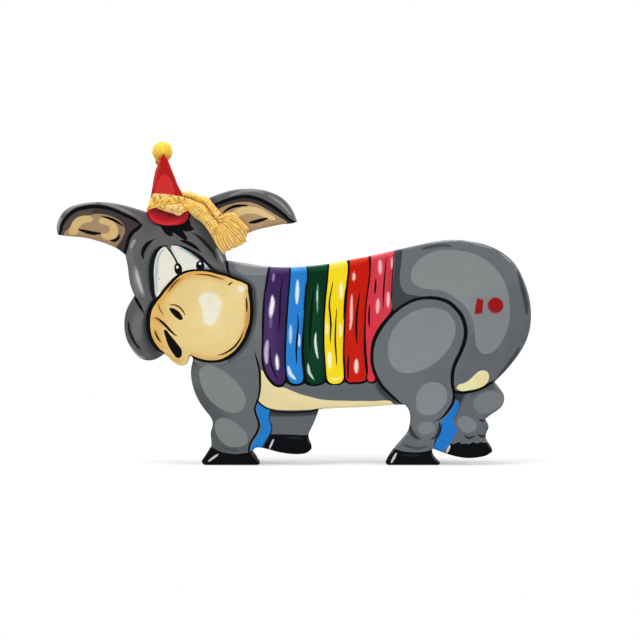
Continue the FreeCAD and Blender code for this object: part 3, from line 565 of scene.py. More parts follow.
# near front leg
P.fill("front_leg", [(186, 350), (200, 366), (226, 363), (246, 356), (255, 355), (257.5, 362), (259.5, 370), (260, 380), (259.8, 390), (258.5, 397), (257, 402), (254.8, 408), (255.5, 413), (258, 420), (259, 426), (257.5, 431), (254.5, 436.5), (251.5, 441), (249.5, 446), (248.5, 451.5), (262, 480), (190, 480), (190, 440), (205, 420), (180, 380)], (101, 104, 106), corner=70)
P.wash([(186, 356), (198, 360), (201, 380), (207, 402), (222, 420), (212, 440), (196, 440), (200, 410), (184, 384)], (93, 95, 97), 0.8, 4, only=["front_leg"])
P.wash([(188, 392), (204, 384), (214, 398), (232, 424), (252, 446), (240, 454), (205, 450), (196, 420)], (80, 83, 85), 0.8, 6, only=["front_leg"])
P.wash([(186, 350), (255, 350), (255, 357), (236, 360), (214, 365), (200, 366), (188, 366)], (66, 69, 72), 0.85, 4.5, only=["front_leg"])
P.wash([(238, 340), (256, 336), (258, 352), (257, 372), (238, 372), (230, 362)], (103, 106, 109), 0.9, 7, only=["front_leg", "body"])
P.fill("leg_oval", [(199.8, 370), (202, 367.5), (206, 365.5), (211, 365.3), (217, 367.5), (224, 371.5), (231, 377), (237, 383), (242, 389.5), (245, 396), (245.6, 401.5), (244, 407), (241, 411), (236, 413), (230, 412.3), (223, 409.8), (216, 405.5), (209, 399), (204, 391.5), (201, 384), (199.5, 377)], (126, 131, 130))
P.fill("leg_oval", [(215, 423), (217, 419.8), (221, 418), (226, 418.3), (231, 420), (237, 423.5), (242, 428), (246, 433.5), (248, 438.5), (247.5, 442.5), (244, 445.5), (239, 447), (234, 447.3), (228, 446), (223, 443), (218.5, 438), (215.8, 432), (214.7, 427)], (121, 126, 126))
P.line([(254.3, 350.5), (255.5, 355), (257.5, 362), (259.5, 370), (260, 380), (259.8, 390), (258.5, 397), (257, 402), (254.8, 408), (255.5, 413), (258, 420), (259, 426), (257.5, 431), (254.5, 436.5), (251.5, 441), (249.5, 446), (248.5, 452.5)], [1.4, 2.0, 2.4, 2.2, 2.0, 2.0, 2.3, 2.2, 2.0], taper=(0.12, 0.02))
P.line([(222, 447.3), (227, 449), (233, 450.3), (239, 450.6)], 1.2, (60, 62, 65), name="front_leg")

# blue ground between the front legs
P.fill("blue_ground", [(257.5, 403), (262, 406.5), (267.5, 409.5), (270, 410), (269.5, 414), (269, 418), (269.7, 422), (271.3, 426), (271.3, 430), (270, 434), (267.5, 438.5), (265, 443), (262, 448), (262, 456), (250, 456), (250.5, 448), (251.5, 445), (254, 440.5), (257.5, 436), (260.5, 430.5), (261, 426), (259.8, 420.5), (257.5, 414.5), (256.5, 409), (257, 405)], (24, 121, 198))
P.line([(270.2, 409.5), (269.6, 414), (269.2, 418), (270, 422), (271.6, 426), (271.6, 430), (270.3, 434), (267.8, 438.5), (265.3, 443), (262.3, 448)], [0.8, 0.9, 1.3, 1.6, 1.6], taper=(0.1, 0.1), colour=(24, 26, 30))

P.fill("hoof", [(190, 452), (211.5, 447), (216, 449.5), (222, 452), (230, 453.5), (238, 454), (244, 453), (249, 452), (251, 450.5), (256, 452), (268, 480), (190, 480)], (8, 9, 12), corner=30)
P.dab(213.2, 457.8, 6.40, 1.12, (190, 193, 198), -36, "dash")

# saddle blanket: black ground, then the coloured rolls
P.fill("blanket", [(268, 250), (268, 267.5), (266.5, 275), (265, 285), (263.5, 295), (262.6, 305), (262, 315), (261.6, 340), (261.3, 352), (261.5, 362), (263, 370), (266, 377), (270, 382.5), (274.5, 386.3), (279, 387.5), (283, 386.3), (286, 383), (288, 384), (291, 385.7), (297, 386), (302, 385), (304.5, 383.5), (307, 385), (312, 386.2), (318, 385.8), (323.5, 384), (325.5, 382.5), (328, 384.2), (334, 385.2), (340, 384.8), (343.5, 383), (345, 382), (348, 383.8), (356, 384.3), (364, 383.3), (367, 382), (370, 383.5), (374, 383.3), (376.5, 381.5), (390, 370), (400, 330), (404, 306), (396, 305), (392.3, 305), (392.5, 290), (393, 275), (394, 262), (395.3, 240)], BLACK, corner=60)
ROLLS = [
    ("purple", (61, 36, 90), (96, 72, 124), [(270.3, 250), (270.5, 267), (269, 275), (267.3, 285), (265.5, 293), (264.6, 310), (264.2, 325), (263.8, 340), (263.5, 352), (264, 362), (265.8, 370), (269, 376.5), (273, 381.5), (277, 384.3), (280, 384.5), (283, 382.8), (284.5, 380), (285, 375), (284.6, 368), (284, 360), (284, 350), (284.6, 338), (285.2, 325), (286, 312), (287, 300), (288.2, 288), (288.8, 278), (289, 266.5), (289.2, 250)]),
    ("blue", (33, 130, 205), (84, 165, 235), [(291.2, 250), (291, 266.5), (290.7, 275), (290.2, 285), (289.2, 297), (288.2, 310), (287.3, 325), (286.7, 338), (286.2, 350), (286, 360), (286.6, 370), (288, 378), (290.5, 382), (295, 383.7), (299, 383.5), (302, 381.5), (303, 378), (302.8, 372), (301.8, 363), (301.3, 353), (301.6, 343), (302.4, 330), (303.4, 318), (304.3, 305), (305.3, 293), (306.3, 283), (307, 274), (306.5, 268), (306, 265.8), (306, 250)]),
    ("green", (0, 50, 25), (24, 84, 58), [(308, 250), (308, 265.7), (308.6, 272), (308.2, 280), (307.2, 290), (306.2, 302), (305.2, 315), (304.5, 328), (304, 342), (304, 355), (304.8, 366), (306, 376), (307.5, 381), (311, 383.6), (317, 383.8), (322, 382.3), (324.3, 380), (324.8, 375), (324.2, 366), (323.4, 355), (322.8, 343), (322.8, 330), (323.2, 317), (323.8, 305), (324.8, 293), (326, 282), (327, 272), (327.5, 264), (327.8, 250)]),
    ("yellow", (249, 222, 33), (252, 232, 96), [(329.8, 250), (329.5, 263.5), (328.8, 272), (328, 282), (326.8, 293), (325.8, 305), (325, 317), (324.6, 330), (324.6, 343), (325.2, 355), (326, 366), (326.8, 376), (328.2, 381), (331, 383.3), (336, 383.8), (341, 382.2), (343, 379.5), (343.4, 372), (342.8, 360), (342.8, 348), (343.2, 335), (343.8, 320), (344.5, 305), (345.4, 292), (346.5, 280), (347.6, 270), (347.3, 263), (346.5, 260.3), (346.3, 246)]),
    ("red", (201, 24, 6), (226, 66, 44), [(349.8, 246), (349.8, 260.5), (349.8, 268), (349, 278), (347.8, 290), (346.8, 303), (346, 317), (345.4, 330), (344.8, 343), (344.6, 353), (345.2, 362), (345.6, 372), (346.3, 379), (348.5, 381.8), (354, 382), (361, 381.5), (365, 380), (366, 377), (365.6, 370), (364.6, 361), (363.8, 350), (363.8, 338), (364.2, 325), (364.8, 313), (365.8, 301), (367, 290), (368.3, 280), (369, 270), (368.6, 260), (368.6, 256.3), (368.6, 242)]),
    ("pink", (219, 50, 68), (232, 100, 112), [(371, 242), (371, 255.5), (371, 264), (370.6, 273), (369.6, 283), (368, 294), (366.8, 305), (366, 318), (365.8, 330), (366, 342), (366.6, 352), (367.5, 362), (368, 372), (367.4, 378), (368.6, 381), (371.5, 381.8), (374.5, 380.5), (374.8, 378), (372.5, 372), (370.8, 364), (370.3, 355), (371, 346), (373, 338), (376, 331.5), (380, 325), (385, 319), (389.5, 313.5), (391.5, 309), (391, 300), (391.3, 288), (392, 275), (393, 262), (394, 250.5), (394.2, 240)]),
]
for nm, tone, top_edge_highlight, pts in ROLLS:
    P.fill(nm, pts, tone, corner=60)
for nm, a, b, tone in (
    ("purple", 268, 352, (80, 54, 108)), ("blue", 296, 330, (38, 128, 212)), ("green", 316, 340, (10, 66, 44)),
    ("yellow", 335, 320, (244, 212, 22)), ("red", 356, 320, (196, 30, 14)), ("pink", 381, 290, (208, 66, 80)),
):
    P.cloud(a, b, 8, 46, tone, 0.7, 0.6, only=[nm])
# darker painted shadow down the right of each roll
for nm, line, tone in (
    ("purple", [(287.5, 280), (285, 310), (283.5, 345), (283.8, 372)], (54, 36, 82)),
    ("blue", [(305.5, 282), (303, 312), (300.6, 345), (302, 374)], (30, 112, 192)),
    ("green", [(325.5, 282), (322.5, 312), (321.8, 345), (323.4, 374)], (4, 44, 27)),
    ("yellow", [(345.5, 282), (343, 312), (342, 345), (342.4, 374)], (232, 198, 24)),
    ("red", [(367.6, 282), (364.2, 312), (363, 345), (364.8, 374)], (172, 24, 12)),
    ("pink", [(390.6, 262), (390, 284), (389.6, 306)], (192, 48, 64)),
):
    P.mist(line, 2.6, tone, 0.6, 0.9, only=[nm])
for line, w in (
    ([(283.5, 277), (281.5, 285), (280.3, 295), (280, 305), (279.8, 315), (279.3, 325), (278.3, 331)], 1.9),
    ([(270.3, 347), (270.2, 356), (271.2, 364), (273.5, 371.5), (277.5, 378.8)], 1.9),
    ([(297.2, 313.5), (298.2, 322), (297.6, 332), (296.7, 342), (296.3, 352), (296.7, 364)], 2.0),
    ([(332.8, 281), (331.8, 288), (330, 297), (329.3, 306), (330.2, 315), (330.8, 325), (330.5, 335), (330.3, 343.5)], 1.9),
    ([(336.8, 308), (336, 318), (335.4, 330), (335.3, 342), (336, 353), (336.9, 366)], 1.7),
    ([(359.5, 292), (358.3, 302), (356.8, 313), (356.2, 325), (356.4, 335), (357.2, 344)], 2.4),
    ([(349, 354), (348.2, 362), (347.8, 370), (348.5, 379)], 2.0),
    ([(375.9, 278), (375.4, 286), (374.8, 294.5)], 2.1),
    ([(386.2, 256), (385.4, 268), (384.3, 280), (383.6, 292), (383, 309)], 1.6),
    ([(369.5, 304), (369, 313), (369, 321), (369.3, 327.5)], 2.0),
):
    P.line(line, w, (14, 13, 15), taper=(0.45, 0.3))
P.line([(313.2, 290), (312.2, 302), (311, 315), (310.3, 328), (310, 340), (309.9, 351)], 2.9, (2, 25, 12), taper=(0.4, 0.35))
P.line([(305.8, 284), (305, 296), (303.6, 310)], 1.2, taper=(0.4, 0.4))
P.line([(345.4, 288), (344.2, 304), (343.4, 320)], 1.0, taper=(0.4, 0.4))
for line, w, tone, s, only in (
    ([(273.8, 273), (273, 281.5)], 2.0, (172, 152, 196), 0.9, "purple"),
    ([(272.3, 296), (272.5, 302), (271.5, 309), (270.5, 318)], 4.2, (244, 240, 248), 1.0, "purple"),
    ([(271, 314), (270.4, 328)], 3.0, (132, 110, 158), 0.6, "purple"),
    ([(267.5, 340), (266.2, 352), (266.6, 364)], 4.0, (196, 180, 218), 0.95, "purple"),
    ([(276.6, 355), (277.6, 370)], 3.0, (246, 244, 250), 1.0, "purple"),
    ([(297.6, 280), (297.2, 294), (296.8, 304)], 3.4, (222, 240, 252), 1.0, "blue"),
    ([(290.8, 325), (290.3, 344)], 2.8, (190, 222, 248), 0.95, "blue"),
    ([(299.3, 334), (299.2, 347)], 1.8, (214, 234, 250), 0.95, "blue"),
    ([(288, 366), (290.5, 374), (295.5, 379.5)], 3.4, (216, 236, 252), 0.95, "blue"),
    ([(317.8, 284), (317.2, 298), (317.5, 312)], 1.9, (128, 172, 148), 0.85, "green"),
    ([(317.2, 290), (317.2, 302)], 1.4, (196, 220, 206), 0.8, "green"),
    ([(315.8, 333), (315.3, 341), (316.2, 350), (317.9, 358.5)], 2.2, (226, 238, 230), 1.0, "green"),
    ([(308, 364), (309.5, 373), (313.5, 379)], 2.4, (206, 226, 214), 0.95, "green"),
    ([(341, 283), (341, 298)], 4.0, (255, 246, 190), 0.95, "yellow"),
    ([(326.7, 322), (326.7, 334)], 3.0, (254, 244, 176), 0.8, "yellow"),
    ([(340.5, 324), (340.3, 337)], 3.6, (254, 244, 176), 0.8, "yellow"),
    ([(329.5, 352), (329.8, 368)], 3.6, (255, 248, 206), 1.0, "yellow"),
    ([(330.5, 377.5), (335, 379.8), (340, 377)], 2.2, (254, 244, 176), 0.75, "yellow"),
    ([(354, 272.5), (353.7, 281)], 2.7, (250, 214, 204), 0.95, "red"),
    ([(351.8, 295), (351.3, 310), (351.2, 320), (350, 330)], 2.7, (246, 196, 184), 0.95, "red"),
    ([(356.3, 359), (356.3, 373.5)], 3.6, (252, 224, 214), 1.0, "red"),
    ([(380, 260), (380.2, 274)], 3.6, (246, 186, 194), 0.95, "pink"),
    ([(392, 257), (391.8, 269)], 2.5, (244, 178, 188), 0.9, "pink"),
    ([(378, 299), (377.8, 306), (377.3, 313.5)], 3.4, (246, 188, 196), 0.95, "pink"),
    ([(388.2, 292), (388, 307)], 3.1, (246, 190, 198), 0.95, "pink"),
):
    P.mist(line, w, tone, s, 0.62, only=[only])
P.fill("pink_shade", [(396.2, 236), (402.5, 236), (402.5, 250), (401, 265), (399.8, 280), (401, 287), (404, 292), (409, 294.5), (416, 295.3), (426, 298), (410, 306), (396, 316), (392.2, 308), (392.8, 290), (393.6, 275), (395, 258)], (64, 68, 71), corner=60)

# haunch and near hind leg
P.fill("haunch", [(400, 403), (394, 398), (388, 392.5), (382, 386), (378, 379.5), (374.5, 372), (372.3, 364), (371.8, 355), (372.8, 346.5), (375.5, 338), (379.5, 330.5), (384.5, 323), (390.5, 316), (397, 310), (404, 305), (411.5, 301), (420, 298.5), (430, 297.8), (440, 299), (448, 302), (455, 307.5), (460.5, 314), (464, 321.5), (465.7, 330), (465.2, 338), (463, 346), (459.7, 354), (456, 361.5), (453.3, 369), (452.3, 377), (452.5, 385), (454, 392), (454, 398), (452, 404.5), (448.5, 410), (444.5, 415), (441, 419), (441, 426), (440.5, 429), (438.5, 435), (435, 441), (433.5, 445), (436, 449), (446, 480), (380, 480), (380, 448), (398, 430), (398, 408)], (104, 109, 113), corner=70)
P.wash([(440, 300), (470, 320), (470, 350), (455, 385), (456, 405), (440, 420), (420, 380), (440, 360), (452, 335)], (99, 103, 109), 0.6, 7, only=["haunch"])
P.wash([(380, 404), (404, 408), (412, 425), (420, 442), (436, 440), (440, 470), (380, 470)], (96, 101, 105), 0.75, 6, only=["haunch"])
P.mist([(376, 380), (381, 390), (387, 396.5), (394, 402.5)], 5.0, (52, 56, 59), 0.9, 0.6, only=["body"], lens=False)
P.line([(402, 404.6), (400, 403), (394, 398), (388, 392.5), (382, 386), (378, 379.5), (374.5, 372), (372.3, 364), (371.8, 355), (372.8, 346.5), (375.5, 338), (379.5, 330.5), (384.5, 323), (390.5, 316), (397, 310), (404, 305), (411.5, 301), (420, 298.5), (430, 297.8), (440, 299), (448, 302), (455, 307.5), (460.5, 314), (464, 321.5), (465.7, 330), (465.2, 338), (463, 346), (459.7, 354), (456, 361.5), (453.3, 369), (452.3, 377), (452.5, 385), (454, 392), (454, 398), (452, 404.5), (448.5, 410), (444.5, 415), (440.5, 418.5), (434, 421.5)], [2.6, 3.2, 3.2, 3.2, 3.2, 3.1, 3.0, 3.1, 3.5, 3.9, 4.0, 4.0, 3.9, 3.7, 3.3, 2.6, 1.5], taper=(0.03, 0.05))
P.fill("haunch_oval", [(388, 350), (388.5, 342), (391, 334), (395, 326.5), (401, 320), (408, 314.5), (416, 310.5), (425, 308.3), (434, 308), (442, 309.5), (448.5, 313), (453, 319), (455.3, 326), (455.3, 333), (453, 340), (449.5, 347.5), (444.5, 354), (438, 360.5), (430, 366), (421, 370.5), (412, 372.8), (404, 373), (397, 370.5), (392, 366), (389, 359)], (132, 136, 139))
P.fill("haunch_oval", [(417.5, 393), (420, 388.5), (424, 384.5), (429, 382.5), (434, 382), (440, 383.5), (444.5, 387), (447, 392.5), (447, 398), (445.5, 403), (442, 408), (437, 412.5), (431, 414.8), (425, 415.2), (420.5, 413.2), (417.3, 409), (416, 403), (416, 397.5)], (130, 134, 137))
P.fill("haunch_oval", [(418, 428), (420, 424.5), (423.5, 422.3), (427.5, 422), (431.5, 423), (434.5, 425.5), (435, 428.5), (433, 431.5), (429.5, 433.6), (425, 434.3), (421, 433.6), (418.3, 431.5)], (124, 128, 131))
P.mist([(410, 425), (411.5, 432), (415, 436.5), (420, 439)], 4.2, (50, 53, 57), 0.92, 0.55, only=["haunch"])
P.mist([(439.5, 422), (439, 430), (436, 436.5), (431, 439.5)], 2.8, (34, 36, 40), 0.95, 0.5, only=["haunch"])
P.mist([(403, 444.5), (410, 447), (420, 448.3), (427, 446.5)], 2.2, (62, 65, 70), 0.9, 0.6, only=["haunch"])

# far hind leg, with the blue ground beside it
P.fill("far_hind", [(455, 392), (462, 392.5), (470, 391.5), (478, 389.5), (485, 386.5), (490, 383.5), (494.5, 381), (520, 378), (520, 480), (440, 480), (440, 450.5), (444, 450), (447.5, 446), (451, 442), (453, 438), (455.5, 434), (457.5, 430), (455, 426), (453.5, 422), (454.5, 417), (457, 412), (458.5, 407), (458.3, 401), (456.5, 400)], (96, 102, 107), corner=60)
P.wash([(453, 391), (469, 391), (464, 397), (460, 406), (454, 418), (452, 420), (452, 400)], (45, 47, 56), 0.95, 2.2, only=["far_hind"])
P.wash([(469, 391), (490, 384), (497, 382), (494, 389), (480, 392), (472, 397)], (70, 75, 81), 0.8, 2.4, only=["far_hind"])
P.wash([(496, 408), (504, 400), (510, 410), (500, 430), (492, 440), (484, 436), (484, 418)], (84, 89, 95), 0.7, 4, only=["far_hind"])
P.fill("hind_oval", [(474, 401), (476, 397.5), (480, 394), (485.5, 391.8), (491, 391), (496, 391.7), (500.5, 393.8), (503, 397), (503.5, 401.5), (500.5, 405.5), (496, 409.5), (490, 412.5), (484, 413.8), (479, 412.8), (475.5, 409.5), (474, 405.5)], (115, 119, 122))
P.fill("hind_oval", [(457.3, 421), (459.5, 417.8), (463, 416.2), (467.5, 416.3), (471.5, 418.3), (475, 421.5), (476.5, 425.5), (475.5, 429.3), (472, 432), (467.5, 432.8), (463, 431.5), (459.5, 428.3), (457.5, 424.8)], (122, 127, 131))
P.mist([(479, 419.5), (483, 420.6), (487, 419.5)], 2.4, (32, 34, 39), 0.95, 0.6, only=["far_hind"])
P.mist([(478, 434.5), (482, 436.4), (487, 435.5)], 2.6, (32, 34, 39), 0.95, 0.6, only=["far_hind"])
P.mist([(464, 435.5), (469, 438.3), (475, 436)], 2.2, (34, 37, 42), 0.95, 0.6, only=["far_hind"])
P.fill("hoof", [(440, 462), (448, 448), (451, 443), (453.5, 444.5), (456, 443), (459, 442), (462, 444), (465, 443.5), (469, 444), (473, 442), (477, 443.5), (481, 442), (485, 443), (488, 441.5), (500, 445), (500, 480), (440, 480)], (8, 9, 12), corner=34)
P.fill("blue_ground", [(456.5, 400), (458.3, 401), (458.5, 407), (457, 412), (454.5, 417), (453.5, 422), (455, 426), (457.5, 430), (455.5, 434), (453, 438), (451, 442), (447.5, 446), (444, 450), (444, 458), (432, 456), (433, 447.5), (433.5, 445), (435, 441), (438.5, 435), (440.5, 429), (440.8, 423), (443, 419.5), (447, 415), (451, 409.5), (454, 404)], (22, 116, 199))
P.line([(434, 447), (435.3, 441), (438.8, 435), (440.9, 429), (441.2, 423)], 1.3, taper=(0.2, 0.2), colour=(20, 22, 26))
P.dab(448.2, 449.4, 4.70, 1.19, (194, 196, 209), -64, "dash")

P.fill("hoof", [(380, 452), (393.5, 447.8), (398, 450), (406, 451.7), (415, 452.3), (423, 451.8), (429, 450.5), (431.5, 449.5), (436, 451), (450, 480), (380, 480)], (8, 9, 12), corner=30)
P.dab(393.8, 457.9, 5.90, 1.25, (190, 194, 202), -62, "dash")
P.mist([(402, 454.8), (412, 455.6), (420, 455)], 1.6, (44, 47, 54), 0.55, 0.9, only=["hoof"])

# line under the rump, and the cream tail patch
P.line([(453.5, 391), (457, 392), (462, 392.5), (470, 391.5), (478, 389.5), (485, 386.5), (490, 383.5), (496, 380.5)], [2.6, 3.0, 3.2, 3.2, 3.0, 2.4], taper=(0.05, 0.1))
P.fill("cream_patch", [(456.5, 388.5), (457, 386.5), (459.5, 384.3), (463, 383.5), (467, 381.5), (471, 378.5), (475, 374.5), (479, 371.3), (483, 370.3), (487, 371.8), (489, 375.5), (488.5, 380), (486, 384), (481.5, 387), (475, 389.2), (468, 390.5), (461, 391)], (229, 221, 169))
P.wash([(476, 378), (490, 372), (491, 384), (478, 390)], (219, 209, 150), 0.6, 4, only=["cream_patch"])

# ---- head
P.fill("head", [(120, 262), (118, 200), (228, 190), (300, 190), (300, 230), (244, 236), (232, 246), (226.5, 256), (227.5, 266), (229.5, 274), (238, 279), (253, 288), (253.5, 320), (240, 350), (213, 363), (188, 356), (150, 350), (136, 300), (131, 262)], HEAD, corner=70)
P.fill("head", [(40, 190), (150, 196), (150, 262), (128, 262), (90, 262), (40, 250)], HEAD, corner=70)
P.wash([(128, 262), (146, 250), (150, 290), (156, 300), (150, 304), (138, 296), (130, 280)], (90, 92, 92), 0.75, 4, only=["head"])
# painted shadow: the scarf's shadow darkens the head to the right of the hat
P.wash([(190, 196), (214, 196), (226, 240), (224, 262), (214, 258), (206, 242), (196, 226)], (66, 67, 68), 0.85, 6, only=["head"])
P.wash([(143, 215), (150, 214), (156, 222), (150, 236), (142, 232)], (84, 85, 86), 0.6, 4, only=["head"])
P.mist([(131.5, 250), (130.6, 258), (132.5, 275), (137, 298)], 8, (112, 113, 113), 0.8, 0.8, only=["head"])
P.mist([(130.8, 249), (132.4, 244), (135.6, 239.5)], 3.0, (160, 161, 161), 0.9, 0.8, only=["head"])
P.mist([(135.8, 270), (138.6, 281), (142.6, 293.5)], 3.0, (220, 220, 216), 1.0, 0.75, only=["head"])
P.mist([(135.2, 266), (139, 286), (144, 297)], 6.5, (150, 151, 150), 0.55, 0.8, only=["head"])
# painted highlight along the head's eased right edge, where the gloss catches the light
P.mist([(216.5, 248), (219.5, 254), (223.3, 263)], 3.2, (160, 162, 164), 0.9, 0.8, only=["head"])

# jaw behind the muzzle
P.fill("jaw", [(120, 300), (133.7, 295), (137, 301), (141, 308), (144, 313), (147.5, 313), (146.8, 321), (147.3, 330), (149.3, 337.5), (153, 344.5), (158, 349.8), (163.5, 352.5), (168, 358), (160, 366), (128, 362), (116, 330)], (87, 89, 91), corner=60)
P.cloud(138.2, 326, 6.5, 16, (109, 111, 110), 0.95, 0.5, angle=10, only=["jaw"])
P.mist([(128.2, 321), (129.3, 330), (132.3, 338), (136, 344.5), (140.3, 349.5)], 2.8, (14, 15, 17), 1.0, 0.5)
# painted highlight along the jaw's eased lower edge, where the gloss catches the light
P.mist([(128, 343), (133, 350), (139, 356), (145, 358)], 2.0, (170, 172, 173), 0.75, 0.8, only=["jaw"])
P.wash([(146, 313), (152, 330), (158, 350), (168, 360), (160, 362), (150, 354), (144, 340), (142, 322)], (58, 60, 62), 0.7, 3, only=["jaw"])

# left ear
P.fill("ear_dark", [(54, 240), (60, 233), (62, 225), (67, 217), (75, 210.5), (85, 207.5), (95, 206.5), (105, 207.5), (115, 210.5), (125, 215), (135, 220), (141, 224.5), (137, 229), (133, 232), (129, 238), (127, 245), (125, 252), (121, 266), (90, 256), (54, 246)], (66, 57, 56), corner=60)
P.wash([(60, 236), (66, 222), (78, 212), (92, 209), (92, 216), (78, 219), (70, 230), (66, 242)], (94, 83, 72), 0.8, 3, only=["ear_dark"])
P.fill("ear_tan", [(63.6, 236), (64, 234), (70, 227), (75, 221), (82, 217), (90, 215), (98, 213.8), (105, 214.5), (113, 217), (120, 221), (124, 226), (125, 231), (123, 237), (120, 242), (117, 246), (112, 262), (90, 256), (60, 246)], (158, 127, 99), corner=60)
P.wash([(58, 238), (62, 220), (80, 208), (110, 210), (128, 222), (126, 246), (110, 260), (80, 250)], (176, 146, 114), 0.6, 2, only=["ear_tan"])
P.fill("ear_cream", [(69.0, 232.4), (70.2, 227.5), (72.4, 222.1), (78.4, 217.0), (86.4, 215.6), (91.6, 216.8), (92.7, 219.4), (91.4, 222.0), (85.5, 222.8), (80.8, 225.4), (78.3, 229.0), (77.9, 233.2), (73.4, 235.0), (70, 234.8)], (215, 183, 122))
P.fill("ear_cream", [(98.4, 220.4), (101.2, 218.0), (106.4, 217.9), (112.4, 220.9), (117.0, 226.2), (118.2, 232.4), (115.8, 237.6), (110, 239.8), (104.4, 238.6), (101.2, 236.0), (101.6, 233.6), (106.6, 233.2), (110.0, 230.4), (109.6, 226.8), (105.4, 224.6), (100.2, 223.4)], (215, 183, 122))
P.wash([(112, 220), (124, 224), (124, 240), (114, 250), (112, 238)], (140, 112, 88), 0.7, 3, only=["ear_tan"])
P.line([(57.5, 235.5), (60, 233), (62, 225), (67, 217), (75, 210.5), (85, 207.5), (95, 206.5), (105, 207.5), (115, 210.5), (125, 215), (135, 220), (141, 224.5)], [2.6, 3.4, 3.8, 3.9, 3.7, 3.4, 3.4, 3.4], taper=(0.08, 0.08))
P.line([(142.5, 223.5), (137, 229), (133, 232), (129, 238), (127, 245), (124.6, 254)], [3.2, 4.0, 3.8, 3.4, 3.2], taper=(0.1, 0.05))
P.line([(78.4, 229.4), (86, 231.6), (93, 233.2), (101.2, 233.4)], 3.6, taper=(0.4, 0.3))
P.line([(101.4, 216.4), (109, 218.2), (116, 221.2), (123.6, 226.2)], 2.8, taper=(0.4, 0.4))
P.line([(110.2, 240.7), (115, 240.2), (118.6, 237.5), (119.4, 234.4)], 3.2, taper=(0.3, 0.4))
# painted highlight along the left ear's top and outer edges: the shine of the glossy eased edge, over the artwork's own
# airbrushed light
P.mist([(66, 213), (74, 206.6), (84, 203.6), (96, 202.6)], 2.4, (150, 150, 150), 0.85, 0.8, only=["head"])
P.mist([(100, 203), (112, 205.3), (124, 210), (135, 215.5)], 2.2, (146, 147, 147), 0.8, 0.8, only=["head"])
P.mist([(57.4, 231), (58.4, 224), (61.6, 217.5)], 1.8, (178, 178, 178), 0.8, 0.8, only=["head"])

# right ear
P.fill("ear_dark", [(206, 214), (214, 205), (225, 201), (235, 198), (245, 196.5), (255, 198), (265, 202), (275, 208), (283, 214), (290, 220), (294.5, 222), (300, 228), (260, 238), (244, 236), (226, 236)], (62, 54, 53), corner=60)
P.fill("ear_tan", [(212, 216), (219, 209), (228, 205), (238, 202.5), (248, 202), (256, 204), (266, 209), (276, 215), (287.5, 222.3), (280, 232), (250, 240), (228, 236)], (181, 149, 112), corner=60)
P.fill("ear_cream", [(229.4, 214.4), (235, 210.2), (241, 207.6), (248, 206.8), (256, 207.4), (263, 210.0), (269, 213.8), (274.6, 217.4), (275.6, 220.2), (270, 219.6), (264, 217.0), (257, 214.2), (249, 213.6), (241, 215.4), (235.2, 219.4), (231, 219.6)], (227, 198, 139))
P.wash([(270, 214), (288, 222), (284, 230), (262, 230), (262, 222)], (168, 138, 104), 0.6, 3.5, only=["ear_tan"])
P.line([(212, 206.6), (218, 203.6), (225, 201), (235, 198), (245, 196.5), (255, 198), (265, 202), (275, 208), (283, 214), (290, 220), (295.6, 222.4)], [3.2, 3.6, 3.7, 3.7, 3.7, 3.7, 3.2, 2.2], taper=(0.03, 0.06))
P.line([(222.5, 213.4), (227, 209.8), (232, 207.2), (240, 205.6), (247.8, 205.4)], 3.0, taper=(0.4, 0.4))
P.line([(248.6, 222.8), (254, 222), (260, 220.4), (268, 218.1)], 3.6, taper=(0.3, 0.4))
# painted highlight along the right ear's top edge: the shine of the glossy eased edge, over the artwork's own
# airbrushed light
P.mist([(230, 195.5), (240, 192), (252, 190.6), (264, 193)], 2.2, (150, 151, 152), 0.85, 0.8, only=["head"])
P.mist([(268, 195), (277, 200.5), (285, 207.5), (291, 215)], 2.2, (156, 157, 158), 0.85, 0.8, only=["head"])

# face
P.line([(168.5, 245.4), (166, 246), (160, 248), (155, 254), (152, 264), (151.5, 275), (152, 285), (154, 297), (157, 301)], [1.6, 3.6, 4.6, 4.8, 4.8, 4.4, 3.6, 3.0], (20, 20, 22), taper=(0.1, 0.05))
P.mist([(164, 246), (156, 250), (150.5, 262), (149.8, 276), (150.6, 288), (153.5, 300)], 5.2, (38, 39, 41), 0.7, 0.8, only=["head"])
P.line([(155.5, 238.6), (150.5, 241.5), (147, 244.5), (144, 249), (142.4, 255), (143.8, 259.5)], [0.9, 2.6, 3.8, 4.0, 3.4, 2.2], taper=(0.35, 0.3))
P.mist([(152, 241), (146.5, 246), (143.2, 252), (143, 257)], 5, (60, 61, 62), 0.6, 0.8, only=["head"])
P.line([(179.5, 240.7), (184, 241.4), (188, 243), (195, 247), (201.4, 252.4)], [2.2, 3.6, 3.9, 3.3, 1.6], taper=(0.25, 0.35))
P.line([(190.5, 231.6), (200, 238), (207, 245), (213, 252), (217.5, 262.5)], [1.4, 2.8, 3.2, 2.6, 1.2], (26, 26, 28), taper=(0.35, 0.4))
P.mist([(196, 234), (207, 244), (214, 254)], 4.4, (48, 49, 50), 0.6, 0.8, only=["head"])
P.line([(171.5, 244.8), (178, 245.6), (184, 247.5), (193, 252), (200, 257), (208, 266), (215, 272), (223, 277)], [1.2, 1.8, 2.4, 3.2, 4.0, 5.0, 5.6, 5.6], (14, 14, 16), taper=(0.1, 0.02))
P.fill("eye", [(164, 247), (159, 251), (156, 257), (154.3, 265), (153.8, 273), (154.2, 281), (154.8, 289), (155.5, 294), (156.5, 297.2), (157.5, 297), (160, 293.5), (164, 288.5), (169, 283), (174, 278.5), (179, 275), (180.5, 273.5), (177, 266), (175.5, 261), (172.5, 255.5), (169, 250.5), (165.5, 247)], (236, 231, 216))
